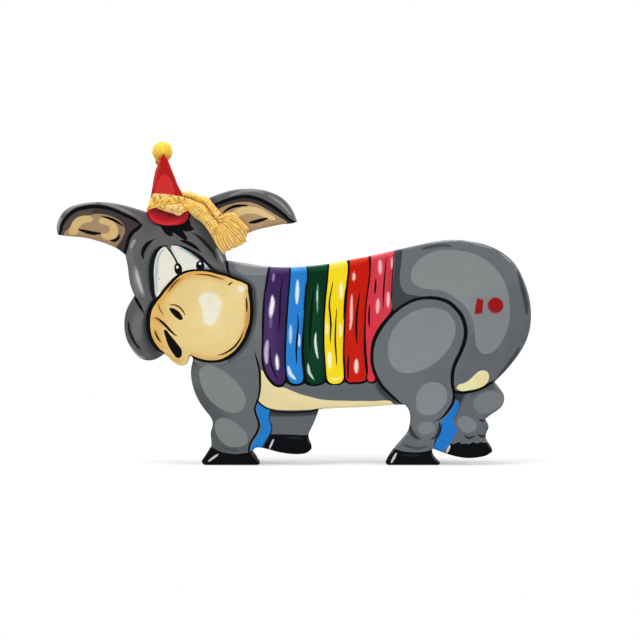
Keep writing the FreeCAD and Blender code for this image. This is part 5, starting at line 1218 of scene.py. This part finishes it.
def slab(soup, edge_a, edge_b, front_at, back_at, u0, u1, tone, n=46, m=12):
    """A closed crowned core between two edge lines."""
    A, B = resample(edge_a, 110), resample(edge_b, 110)
    us, vs = np.linspace(u0, u1, n), np.linspace(0, 1, m)
    V = []
    for layer in (front_at, back_at):
        for a in us:
            i = min(108, int(a * 109))
            f = a * 109 - i
            pa, pb = A[i] * (1 - f) + A[i + 1] * f, B[i] * (1 - f) + B[i + 1] * f
            for b in vs:
                bb = 0.05 + 0.9 * b
                q = pa * (1 - bb) + pb * bb
                V.append((q[0], layer(a, bb), q[1]))
    F, C = [], []
    k = n * m

    def put(*f):
        F.append(f)
        C.append(tone)

    for i in range(n - 1):
        for j in range(m - 1):
            a = i * m + j
            put(a, a + 1, a + m + 1, a + m)
            put(k + a, k + a + m, k + a + m + 1, k + a + 1)
    for i in range(n - 1):
        a, b = i * m, i * m + m - 1
        put(a, a + m, k + a + m, k + a)
        put(b, k + b, k + b + m, b + m)
    for j in range(m - 1):
        a, b = j, (n - 1) * m + j
        put(a, k + a, k + a + 1, a + 1)
        put(b, b + 1, k + b + 1, k + b)
    soup.add(V, F, C)


def recalc(ob):
    import bmesh

    bm = bmesh.new()
    bm.from_mesh(ob.data)
    bmesh.ops.recalc_face_normals(bm, faces=bm.faces)
    bm.to_mesh(ob.data)
    bm.free()
    ob.data.update()


paper = crepe("crepe_paper_twist")

def noise2(a, b, c):
    return np.array([noise.noise(Vector((p, q, c))) for p, q in zip(a.ravel(), b.ravel())]).reshape(a.shape)


def gathered(soup, guides, depth, back, nu, nv, look, lobes=None):
    """A closed piece of creased paper spanned by guide lines: depth(U,V) is its front, look(U,V,S,T) gives relief and colour."""
    G = np.stack([resample(g, nu) for g in guides])
    u, v = np.linspace(0, 1, nu), np.linspace(0, 1, nv)
    t = v * (len(G) - 1)
    k = np.clip(t.astype(int), 0, len(G) - 2)
    f = (t - k)[:, None, None]
    p1, p2 = G[k], G[k + 1]
    p0 = np.where((k > 0)[:, None, None], G[np.maximum(k - 1, 0)], 2 * p1 - p2)
    p3 = np.where((k < len(G) - 2)[:, None, None], G[np.minimum(k + 2, len(G) - 1)], 2 * p2 - p1)
    P2 = 0.5 * (2 * p1 + (p2 - p0) * f + (2 * p0 - 5 * p1 + 4 * p2 - p3) * f ** 2 + (3 * p1 - p0 - 3 * p2 + p3) * f ** 3)
    P2 = P2.transpose(1, 0, 2)
    U, W = np.meshgrid(u, v, indexing="ij")
    if lobes is not None:
        d = np.gradient(P2, axis=0)
        d /= np.maximum(np.linalg.norm(d, axis=2), 1e-9)[:, :, None]
        P2 = P2 + d * (lobes(W) * np.clip((U - 0.72) / 0.28, 0, 1) ** 1.5)[:, :, None]
    seg_u = np.linalg.norm(np.diff(P2, axis=0), axis=2).sum(0).mean()
    seg_v = np.linalg.norm(np.diff(P2, axis=1), axis=2).sum(1).mean()
    relief, tone = look(U, W, U * seg_u, W * seg_v)
    y = depth(U, W) - relief * np.clip(np.minimum(W, 1 - W) * 9, 0.25, 1)
    V = [np.stack([P2[:, :, 0], np.minimum(y, back - 0.3), P2[:, :, 1]], 2).reshape(-1, 3),
         np.stack([P2[:, :, 0], np.full(U.shape, back), P2[:, :, 1]], 2).reshape(-1, 3)]
    tone = tone.reshape(-1, 3)
    n = nu * nv
    F, C = [], []

    def put(*q):
        F.append(q)
        C.append(tone[[x % n for x in q]])

    for a in range(nu - 1):
        for c in range(nv - 1):
            q = a * nv + c
            put(q, q + 1, q + nv + 1, q + nv)
            put(n + q, n + q + nv, n + q + nv + 1, n + q + 1)
        q, w = a * nv, a * nv + nv - 1
        put(q, q + nv, n + q + nv, n + q)
        put(w, n + w, n + w + nv, w + nv)
    for c in range(nv - 1):
        q, w = c, (nu - 1) * nv + c
        put(q, n + q, n + q + 1, q + 1)
        put(w, w + 1, n + w + 1, n + w)
    soup.add(np.concatenate(V), F, C)


# golden and peach are the paper's own colours; the pale golden (third) is a painted highlight for swells and the brown
# (fourth) a painted shade for creases
PEACH, GOLDEN, SWELL_HIGHLIGHT, CREASE_SHADE = (lin(c) for c in ((252, 210, 150), (255, 208, 88), (255, 226, 132), (170, 104, 44)))


# mixes the golden paper towards peach (its own colour), towards painted highlight by light and towards painted shade by
# dark
def blend_tone(peach, light, dark):
    t = GOLDEN[None, None, :] * np.ones(peach.shape + (1,))
    for m, c in ((peach, PEACH), (light, SWELL_HIGHLIGHT), (dark, CREASE_SHADE)):
        m = np.clip(m, 0, 1)[:, :, None]
        t = t * (1 - m) + c * m
    return t


def cross_look(seed, period, lean, quiet, amp=1.0, peachy=0.0):
    """Fine wrinkles across the run of the paper, with painted shade in their valleys and painted highlight on their
    swells.
    """
    def look(U, V, S, T):
        env = ramp(noise2(S / 9, T / 7, seed), -0.25, 0.25) * 0.75 + 0.25
        env = env * (1 - quiet(U, V)) + 0.12 * quiet(U, V)
        ph = S / period + lean * T / period + 0.75 * noise2(S / 7, T / 4.5, seed + 1) + 0.30 * noise2(S / 2.0, T / 2.4, seed + 2)
        r = np.abs(np.sin(math.pi * ph))
        long_ = np.exp(-(noise2(S / 16 + 3, T / 2.3, seed + 5) / 0.045) ** 2) * 0.55
        swell = noise2(S / 6, T / 5, seed + 3)
        relief = amp * env * (r ** 0.6 - 0.5) + 0.55 * swell - 0.35 * long_
        dark = 1.25 * env * (1 - r) ** 1.5 + 0.6 * long_ - 0.10 * swell
        light = 0.55 * ramp(swell, -0.05, 0.35) + 0.35 * r * env
        peach = peachy + 0.6 * ramp(noise2(S / 5, T / 5, seed + 4), 0.05, 0.35)
        return relief, blend_tone(peach, light, dark)
    return look


def crease_look(seed, peachy, amp=0.5, scale=1.0):
    """Paper crushed flat: broad facets with short creases crossing each other, painted shade in the creases and hollows
    and painted highlight on the swells.
    """
    def look(U, V, S, T):
        a1, a2 = 0.55, -0.45
        x1, y1 = (S * math.cos(a1) + T * math.sin(a1)) / scale, (T * math.cos(a1) - S * math.sin(a1)) / scale
        x2, y2 = (S * math.cos(a2) + T * math.sin(a2)) / scale, (T * math.cos(a2) - S * math.sin(a2)) / scale
        n1 = noise2(x1 / 7.0, y1 / 2.0, seed)
        n2 = noise2(x2 / 6.0, y2 / 1.8, seed + 1)
        c1 = np.exp(-(n1 / 0.075) ** 2) * ramp(noise2(S / 4, T / 3, seed + 2), -0.22, 0.10)
        c2 = np.exp(-(n2 / 0.075) ** 2) * ramp(noise2(S / 4, T / 3, seed + 3), -0.22, 0.10)
        swell = noise2(S / 5, T / 4, seed + 4)
        relief = amp * (1.5 * swell + 0.9 * np.abs(n1) + 0.9 * np.abs(n2) - 0.9 * c1 - 0.9 * c2)
        dark = 0.85 * np.maximum(c1, c2) + 0.30 * ramp(-swell, 0.1, 0.4)
        light = 0.5 * ramp(swell, 0.0, 0.35)
        return relief, blend_tone(peachy(U, V) + 0.5 * noise2(S / 6, T / 4, seed + 6), light, dark)
    return look


def pleat_look(seed, count, amp=0.85):
    """Folds running out from the knot, painted shade in their valleys and painted highlight on their ridges."""
    def look(U, V, S, T):
        ph = V * count + 0.55 * noise2(U * 2.2, V * 5, seed) + 0.12 * noise2(U * 7, V * 16, seed + 1)
        r = np.abs(np.sin(math.pi * ph))
        fine = np.abs(np.sin(math.pi * (ph * 3.1 + 0.6 * noise2(U * 5, V * 11, seed + 2))))
        cross = np.exp(-(noise2(S / 3.2, T / 9, seed + 3) / 0.05) ** 2) * ramp(noise2(S / 5, T / 4, seed + 7), 0.0, 0.25)
        swell = noise2(S / 7, T / 4, seed + 4)
        relief = amp * (r ** 0.7 - 0.5) * (0.55 + 0.6 * U) + 0.22 * fine + 0.6 * swell - 0.2 * cross
        dark = 0.85 * (1 - r) ** 2.0 + 0.40 * (1 - fine) ** 1.6 + 0.55 * cross
        light = 0.6 * r ** 2 * ramp(noise2(S / 6, V * 12, seed + 5), -0.1, 0.3) + 0.2 * fine
        peach = 0.75 * ramp(noise2(S / 9, V * count, seed + 6), 0.0, 0.3)
        return relief, blend_tone(peach, light, dark)
    return look


def crown(y_mid, y_side, y_end, p=10, q=0.5):
    return lambda U, V: y_side + (y_mid - y_side) * (1 - (2 * V - 1) ** 2) ** q * (1 - np.abs(2 * U - 1) ** p) + (y_end - y_side) * np.abs(2 * U - 1) ** p


FINE = 1.5
NU, NV = int(170 * FINE), int(44 * FINE)

# wraps round the hat's foot
band = Soup()
gathered(band, [art([(151.3, 193.8), (156, 193.7), (161, 193.9), (167, 194.4), (172.6, 195.2), (178, 196.1), (183.3, 197.2), (187.4, 199.0)]),
                art([(149.4, 200.6), (158, 199.8), (166, 199.8), (175, 200.6), (183, 201.4), (188.4, 202.4)]),
                art([(146.2, 211.2), (150.6, 209.3), (154.5, 208.2), (158, 207.4), (165, 206.0), (174, 205.6), (181.8, 204.9), (189.2, 206.2)])],
         crown(-40.6, -37.4, -34.5), -31.4, NU, NV,
         crease_look(11, lambda U, V: 0.65 * ramp(1 - V, 0.35, 0.75) * ramp(1 - U, 0.2, 0.6) - 0.35 * ramp(V, 0.45, 0.7), 0.6, 1.7))
gathered(band, [art([(156.2, 206.9), (160.5, 205.8), (166, 205.2), (174, 204.6), (181.8, 203.8), (187, 203.8), (191.4, 206.2)]),
                art([(156.4, 207.5), (161, 207.6), (166, 208.2), (173, 209.2), (180.0, 209.6), (186, 208.0), (192.0, 207.6)]),
                art([(156.6, 208.2), (161, 209.7), (165.4, 211.4), (172.6, 213.7), (179.5, 215.7), (184.8, 212.2), (192.0, 209.2)])],
         crown(-42.2, -38.2, -36.2, 6), -31.4, NU, NV,
         crease_look(29, lambda U, V: 0.85 * ramp(U, 0.12, 0.3) * (1 - ramp(U, 0.68, 0.9)) - 0.2, 0.6, 1.6))
BK_A = [(-178.6, 337.4), (-170, 338.2), (-150, 337.4), (-131.6, 333.0)]
BK_B = [(-180.4, 319.4), (-170, 318.6), (-150, 318.6), (-130.0, 318.6)]
gathered(band, [BK_A, BK_B], lambda U, V: -30.9 + 0 * U, -29.9, 90, 24, crease_look(41, lambda U, V: 0.4 + 0 * U, 0.15))
band = band.build("scarf_wraps_twist", paper)
recalc(band)
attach(band, "shell")
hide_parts("scarf_band")

MIDLINE = [(183.5, 196.6), (190, 198.6), (195, 200.4), (200.4, 202.2), (205.5, 204.6), (209, 209), (212, 213.8), (215.6, 218.4), (220.4, 224.6)]
SHOOT = [
    [(218.8, 219.8), (222.4, 215.6), (226.6, 213.2), (233.2, 212.9), (239.0, 217.8), (244.2, 223.4), (249.4, 228.2)],
    [(219.8, 221.2), (225, 218.8), (231, 219.2), (237, 223.2), (242, 228.8), (247.0, 235.0)],
    [(220, 222.5), (225, 223.6), (230, 227.8), (235, 232.8), (240, 238.0), (245.2, 242.4)],
    [(219.6, 223.4), (222.8, 228), (226.4, 233.2), (230.2, 238.6), (233.4, 243.4), (236.0, 247.2)],
    [(218.6, 224.4), (219.6, 229.5), (221.4, 235.5), (224, 242), (226.4, 247.0), (228.2, 250.6)],
    [(217.6, 224.8), (214.6, 230), (213.2, 236), (214.6, 241.5), (218.5, 248), (222.8, 254.6)],
]


def fan_depth(top):
    def at(U, V):
        puff = np.sin(math.pi * np.clip(U * 0.78 + 0.10, 0, 1)) ** 0.7
        end = np.sqrt(np.clip(1 - np.clip((U - 0.90) / 0.10, 0, 1) ** 2, 0, 1)) * 0.75 + 0.25
        return -35.2 - (abs(top) - 35.2) * (0.30 + 0.70 * puff) * end * (0.42 + 0.58 * np.sqrt(np.clip(1 - (2 * V - 1) ** 2, 0, 1)))
    return at


def tail(name, node, ropes, fan_guides, y_fan, seed, count, back):
    """A bound roll of paper with its loose ends fanned out."""
    s = Soup()
    for guides, depth, look in ropes:
        gathered(s, [art(g) for g in guides], depth, back - 0.2, NU, NV, look)
    gathered(s, [art(g) for g in fan_guides], fan_depth(y_fan), back, int(120 * FINE), int(84 * FINE), pleat_look(seed, count),
             lobes=lambda W: 1.9 * np.abs(np.sin(math.pi * (W * (count / 2.2) + 0.2 + seed * 0.1))) ** 0.7 - 1.3 + 1.2 * noise2(W * 5, W * 0, seed))
    ob = s.build(name, paper)
    recalc(ob)
    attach(ob, "shell")
    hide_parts(node)
    return ob


def round_rope(y_mid, start=0.10, tip=0.97):
    def at(U, V):
        ends = np.sqrt(np.clip(np.minimum(U / start, (1 - U) / (1 - tip)), 0.06, 1))
        return -35.0 - (abs(y_mid) - 35.0) * ends * np.sqrt(np.clip(1 - (2 * V - 1) ** 2, 0.004, 1))
    return at


tail("scarf_tail_upper", "scarf_end_upper",
     [([[(181.0, 192.6), (184, 191.4), (188, 191.2), (194, 192.8), (200.1, 196.0), (204, 196.4), (207.4, 196.9), (211.2, 201.2), (218.5, 210.0), (224.8, 217.2)],
        [(182.4, 195.4), (189, 195.0), (196, 197.0), (203.0, 200.2), (208.6, 204.6), (213.8, 211.4), (218, 216.6), (222.6, 221.4)],
        MIDLINE], round_rope(-42.2), cross_look(61, 4.4, 0.30, lambda U, V: ramp(U, 0.25, 0.45) * (1 - ramp(U, 0.62, 0.8)) * 0.35))],
     SHOOT[:3] + [[(219.8, 223.1), (223.2, 226.8), (227.0, 231.8), (230.8, 237.2), (234.4, 242.2), (237.0, 246.4)]], -42.4, 71, 8, -34.75)
tail("scarf_tail_lower", "scarf_end_lower",
     [([MIDLINE,
        [(184.8, 199.6), (191, 204.0), (198, 208.4), (203.8, 213.4), (208.2, 219.6), (212.2, 225.0), (216.4, 231.6)],
        [(185.6, 204.2), (188.8, 211.4), (194.2, 217.2), (202.8, 223.6), (208.0, 230.3), (211.6, 236.0), (214.6, 241.0)]],
       round_rope(-43.4), cross_look(83, 3.5, 0.40, lambda U, V: (1 - ramp(U, 0.16, 0.40)) * 0.5, 1.35))],
     [[(219.8, 221.9), (225.0, 225.0), (230.0, 230.0), (235.0, 235.2), (239.4, 240.2), (243.0, 244.2)]] + SHOOT[3:], -43.8, 91, 8, -34.35)

# ------------------------------------------------------------------ pom-pom
import bmesh

bm = bmesh.new()
bmesh.ops.create_icosphere(bm, subdivisions=6, radius=1.0)
for v in bm.verts:
    d = v.co.normalized()
    f = d * 2.1
    big = noise.noise(f * 1.3 + Vector((4, 1, 7)))
    c1 = noise.voronoi(d * 3.4 + Vector((2, 5, 1)))[0]
    c2 = noise.voronoi(d * 6.4 + Vector((7, 1, 3)))[0]
    crease = min(0.16, c1[1] - c1[0]) / 0.16
    crease2 = min(0.12, c2[1] - c2[0]) / 0.12
    rad = 12.5 + 0.45 * big + 0.5 * (crease - 0.6) + 0.15 * (crease2 - 0.6) + 0.08 * noise.noise(d * 19)
    t = d.dot(Vector((-0.34, -0.30, -0.90)).normalized())
    if t > 0.93:  # the pinched foot of the wad
        rad += 4.4 * ((t - 0.93) / 0.07) ** 1.1 * (1 + 0.25 * math.sin(9 * math.atan2(d.y, d.x)))
    v.co = (Vector((-165.3, -22.4, 392.9)) + d * rad) * MM
pom_me = bpy.data.meshes.new("pompom_crumpled_ball")
bm.to_mesh(pom_me)
bm.free()
pom_me.polygons.foreach_set("use_smooth", np.ones(len(pom_me.polygons), bool))
at = pom_me.color_attributes.new("paint", "FLOAT_COLOR", "CORNER")
co = np.zeros(len(pom_me.vertices) * 3)
pom_me.vertices.foreach_get("co", co)
co = co.reshape(-1, 3) / MM
rel = (co - np.array((-165.3, -22.4, 392.9))) / 12.9
mott = np.array([noise.noise(Vector(r * 5.0)) for r in rel])
mott2 = np.array([noise.noise(Vector(r * 14.0)) for r in rel])
# painted shade: the ball's colour turns orange and darker towards its underside
top, low, underside_shade = lin((250, 208, 66)), lin((232, 162, 52)), lin((206, 126, 50))
w = ramp(-rel[:, 2] + 0.3 * mott, 0.05, 0.95)[:, None]
c = top * (1 - w) + low * w
w2 = (ramp(-rel[:, 2] + 0.25 * mott2, 0.75, 1.25) * 0.8)[:, None]
c = c * (1 - w2) + underside_shade * w2
c = c * (1 + 0.10 * mott2[:, None] + 0.12 * mott[:, None])
li = np.zeros(len(pom_me.loops), np.int32)
pom_me.loops.foreach_get("vertex_index", li)
at.data.foreach_set("color", np.concatenate([c[li], np.ones((len(li), 1))], 1).astype(np.float32).ravel())
pom_me.materials.append(crepe("crumpled_tissue", rough=0.66))
pom = bpy.data.objects.new("pompom_crumpled_ball", pom_me)
bpy.context.scene.collection.objects.link(pom)
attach(pom, "shell")
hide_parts("pompom")

# ------------------------------------------------------------------ CAD nodes that stay, with their finishes
def dress(node, *mats):
    me = NODES[node].data
    me.materials.clear()
    for m in mats:
        me.materials.append(m)


board_kraft = kraft("kraft_liner")
door_kraft = kraft("kraft_liner_door", (184, 145, 103), (156, 118, 80))
block_kraft = kraft("corrugated_blocks", (166, 126, 86), (128, 94, 62), flutes="z", strength=0.9)
rim_mat = rim_paint("rim_enamel")
inside = kraft("rim_inside_kraft", (172, 132, 92), (140, 104, 70), flutes="z")
gum = tape_stuff("gummed_tape")
BOX_LOOP = outline(BOX, 1.0)
for n in NODES:
    if n.startswith("rim_"):
        dress(n, rim_mat, inside)
        me = NODES[n].data
        cen = np.array([p.center for p in me.polygons]) * 1000
        nor = np.array([p.normal for p in me.polygons])
        d, _t = along(np.concatenate([BOX_LOOP, BOX_LOOP[:1]]), cen[:, [0, 2]])
        mi = ((d > 1.2)).astype(np.int32)
        me.polygons.foreach_set("material_index", mi)
dress("back_panel", board_kraft)
dress("hatch_frame", kraft("kraft_lip", (170, 130, 90), (140, 104, 70)))
dress("hatch_door", door_kraft)
dress("hatch_tab", gum)
dress("hanging_eyelet", metal("brass"))
dress("eyelet_washer", metal("steel_washer", (176, 178, 182), (120, 120, 122), (0.25, 0.45)))
dress("hanger_dowel", wood("birch_dowel"))
for n in ("dowel_seat_front", "dowel_seat_back"):
    dress(n, block_kraft)
for n in ("spacer_head", "spacer_front_leg", "spacer_hind_leg", "spacer_rump"):
    dress(n, block_kraft)
red = sticker("sticker_red_paper")
dress("target_dot", red)
dress("target_bar", red)

# ------------------------------------------------------------------ gummed paper tape
def seam_tape(name, loop, s0, s1, lift, seed):
    """A strip of tape folded over the edge between the rims and the back panel."""
    r = random.Random(seed)
    m = len(loop)
    nxt, prv = np.roll(loop, -2, 0), np.roll(loop, 2, 0)
    tan = nxt - prv
    tan /= np.maximum(np.linalg.norm(tan, axis=1), 1e-9)[:, None]
    out = np.stack([tan[:, 1], -tan[:, 0]], 1)
    turning = np.array([tan[i - 1][0] * tan[(i + 1) % m][1] - tan[i - 1][1] * tan[(i + 1) % m][0] for i in range(m)])
    step = np.linalg.norm(loop - np.roll(loop, 1, 0), axis=1).mean()
    radius = np.where(turning > 1e-4, 2 * step / np.maximum(turning, 1e-4), 999)
    ks = list(range(s0, s1, 2))
    flap = np.minimum(8.5, 0.72 * np.array([min(radius[(k + j) % m] for j in range(-5, 6)) for k in ks]))
    flap = np.convolve(np.pad(flap, 3, mode="edge"), np.ones(7) / 7, "valid")
    side = 9.0 + 0.25 * np.array([noise.noise(Vector((seed, k * 0.05, 2))) for k in ks])
    flap = flap + 0.25 * np.array([noise.noise(Vector((seed + 9, k * 0.05, 2))) for k in ks])
    V, F = [], []
    prof_n = 11
    for q, k in enumerate(ks):
        p, o = loop[k % m], out[k % m]
        f, sd = max(1.2, flap[q]), side[q]
        h0, h1 = 0.05 + lift, 0.42 + lift
        pts = [(h1, 46 - sd), (h1, 46 - sd * 0.5), (h1, 45.7), (h1 * 0.7, 46 + h1 * 0.7), (-0.4, 46 + h1), (-f * 0.5, 46 + h1), (-f, 46 + h1),
               (-f, 46 + h0), (-f * 0.3, 46 + h0), (h0, 46.02), (h0, 46 - sd)]
        wr = 0.10 * noise.noise(Vector((seed + 3, k * 0.11, 0)))
        for n, y in pts:
            a = p + o * (n + (wr if n > 0.2 else 0))
            V.append((a[0], y + (abs(wr) if y > 46.2 else 0), a[1]))
    nk = len(ks)
    for q in range(nk - 1):
        for j in range(prof_n):
            a, b2 = q * prof_n + j, q * prof_n + (j + 1) % prof_n
            F.append((a, b2, b2 + prof_n, a + prof_n))
    F.append(tuple(range(prof_n)))
    F.append(tuple((nk - 1) * prof_n + j for j in range(prof_n))[::-1])
    return V, F


tape_runs = []
mloop = len(BOX_LOOP)
low = BOX_LOOP[:, 1] < 1.6
start = next(i for i in range(mloop) if low[i - 1] and not low[i])
run = []
for q in range(mloop + 1):
    i = (start + q) % mloop
    if low[i] or q == mloop:
        if len(run) > 12:
            tape_runs.append((start + run[0], start + run[-1]))
        run = []
    else:
        run.append(q)
tapes = Soup()
count = 0
for a, b2 in tape_runs:
    at_ = a
    while at_ < b2 - 8:
        ln = rng.randint(110, 190)
        end = min(b2, at_ + ln)
        if b2 - end < 40:
            end = b2
        V, F = seam_tape("seam", BOX_LOOP, at_, end, 0.0 if count % 2 == 0 else 0.34, 50 + count)
        tapes.add(V, F, [lin((180, 140, 92)) * (1 + 0.1 * rng.uniform(-1, 1))] * len(F))
        count += 1
        at_ = end - 7 if end < b2 else b2
seams = tapes.build("seam_tape_back_edge", gum, False)
recalc(seams)
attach(seams, "shell")

# the hatch's hinge: one strip of tape, folded along the gap
V, F = [], []
zs = [181.2, 184.5, 188, 191.5, 194.5, 196.0, 196.6, 197.0, 197.4, 197.8, 198.2, 198.8, 200.2, 203.5, 207, 210.5, 213.8]
nx = 34
for side_ in (0, 1):
    for z in zs:
        for i in range(nx + 1):
            x = 6.3 + 97.4 * i / nx
            edge = 0.3 * noise.noise(Vector((z * 0.3, 4, 0))) if i in (0, nx) else 0
            crease = 0.28 * math.exp(-((z - 197.5) / 0.8) ** 2)
            pucker = 0.06 * noise.noise(Vector((x * 0.16, z * 0.2, 3)))
            y = 46.06 if side_ else 46.44 + abs(pucker) - crease * 0.4
            zz = z + (0.3 * noise.noise(Vector((x * 0.12, 9, 0))) if z in (zs[0], zs[-1]) else 0)
            V.append((x + edge, y, zz))
row, lay = nx + 1, (nx + 1) * len(zs)
for j in range(len(zs) - 1):
    for i in range(nx):
        a = j * row + i
        F.append((a, a + 1, a + row + 1, a + row))
        F.append((lay + a, lay + a + row, lay + a + row + 1, lay + a + 1))
for i in range(nx):
    t0 = (len(zs) - 1) * row
    F.append((i, lay + i, lay + i + 1, i + 1))
    F.append((t0 + i, t0 + i + 1, lay + t0 + i + 1, lay + t0 + i))
for j in range(len(zs) - 1):
    a, c = j * row, j * row + nx
    F.append((a, a + row, lay + a + row, lay + a))
    F.append((c, lay + c, lay + c + row, c + row))
hs = Soup()
hs.add(V, F, [lin((180, 140, 92))] * len(F))
hinge = hs.build("hatch_hinge_tape", gum, True)
recalc(hinge)
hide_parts("hinge_tape_panel", "hinge_tape_door")
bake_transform(hinge)

# ------------------------------------------------------------------ stage and light
sz = 1.05
me = bpy.data.meshes.new("floor_sheet")
nseg = 96
me.from_pydata([(0.03, 0, -0.0002)] + [(0.03 + sz * math.cos(2 * math.pi * k / nseg), sz * math.sin(2 * math.pi * k / nseg), -0.0002) for k in range(nseg)], [], [(0, k + 1, (k + 1) % nseg + 1) for k in range(nseg)])
floor = bpy.data.objects.new("floor_sheet", me)
bpy.context.scene.collection.objects.link(floor)
k = Nodes("floor_white")
grainy = k.noise(40, 3, 0.5)
k.link(k.mix(k.spread(grainy, 0.3, 0.7, 0, 1), (0.46, 0.46, 0.46, 1), (0.48, 0.48, 0.48, 1)), k.b.inputs["Base Color"])
k.set(Roughness=0.9, Specular_IOR_Level=0.0, Emission_Color=(1, 1, 1, 1), Emission_Strength=0.50)
me.materials.append(k.m)
floor.visible_glossy = False

world = bpy.data.worlds.new("studio")
bpy.context.scene.world = world
world.use_nodes = True
wt = world.node_tree
bgd = wt.nodes["Background"]
path = wt.nodes.new("ShaderNodeLightPath")
mixw = wt.nodes.new("ShaderNodeMix")
mixw.data_type = "FLOAT"
mixw.inputs[2].default_value = WORLD_FILL
mixw.inputs[3].default_value = 1.0
wt.links.new(path.outputs["Is Camera Ray"], mixw.inputs[0])
wt.links.new(mixw.outputs[0], bgd.inputs["Strength"])
bgd.inputs["Color"].default_value = (1, 1, 1, 1)


def softbox(name, loc, aim, size, watts, size_y=None):
    d = bpy.data.lights.new(name, "AREA")
    d.energy = watts
    d.shape = "RECTANGLE"
    d.size = size
    d.size_y = size_y or size
    o = bpy.data.objects.new(name, d)
    o.location = loc
    o.rotation_euler = (Vector(aim) - Vector(loc)).to_track_quat("-Z", "Y").to_euler()
    bpy.context.scene.collection.objects.link(o)
    return o


mid = (0.02, 0, 0.18)
softbox("key", (-2.1, -1.5, 2.3), mid, 1.5, 74 * LIGHT)
softbox("fill", (2.6, -1.7, 1.5), mid, 1.8, 64 * LIGHT)
softbox("top", (0.0, -0.05, 2.1), mid, 1.7, 34 * LIGHT, 1.1)
softbox("back_left", (-1.8, 2.2, 1.6), mid, 1.6, 40 * LIGHT)
softbox("back_right", (1.9, 2.1, 1.3), mid, 1.6, 30 * LIGHT)
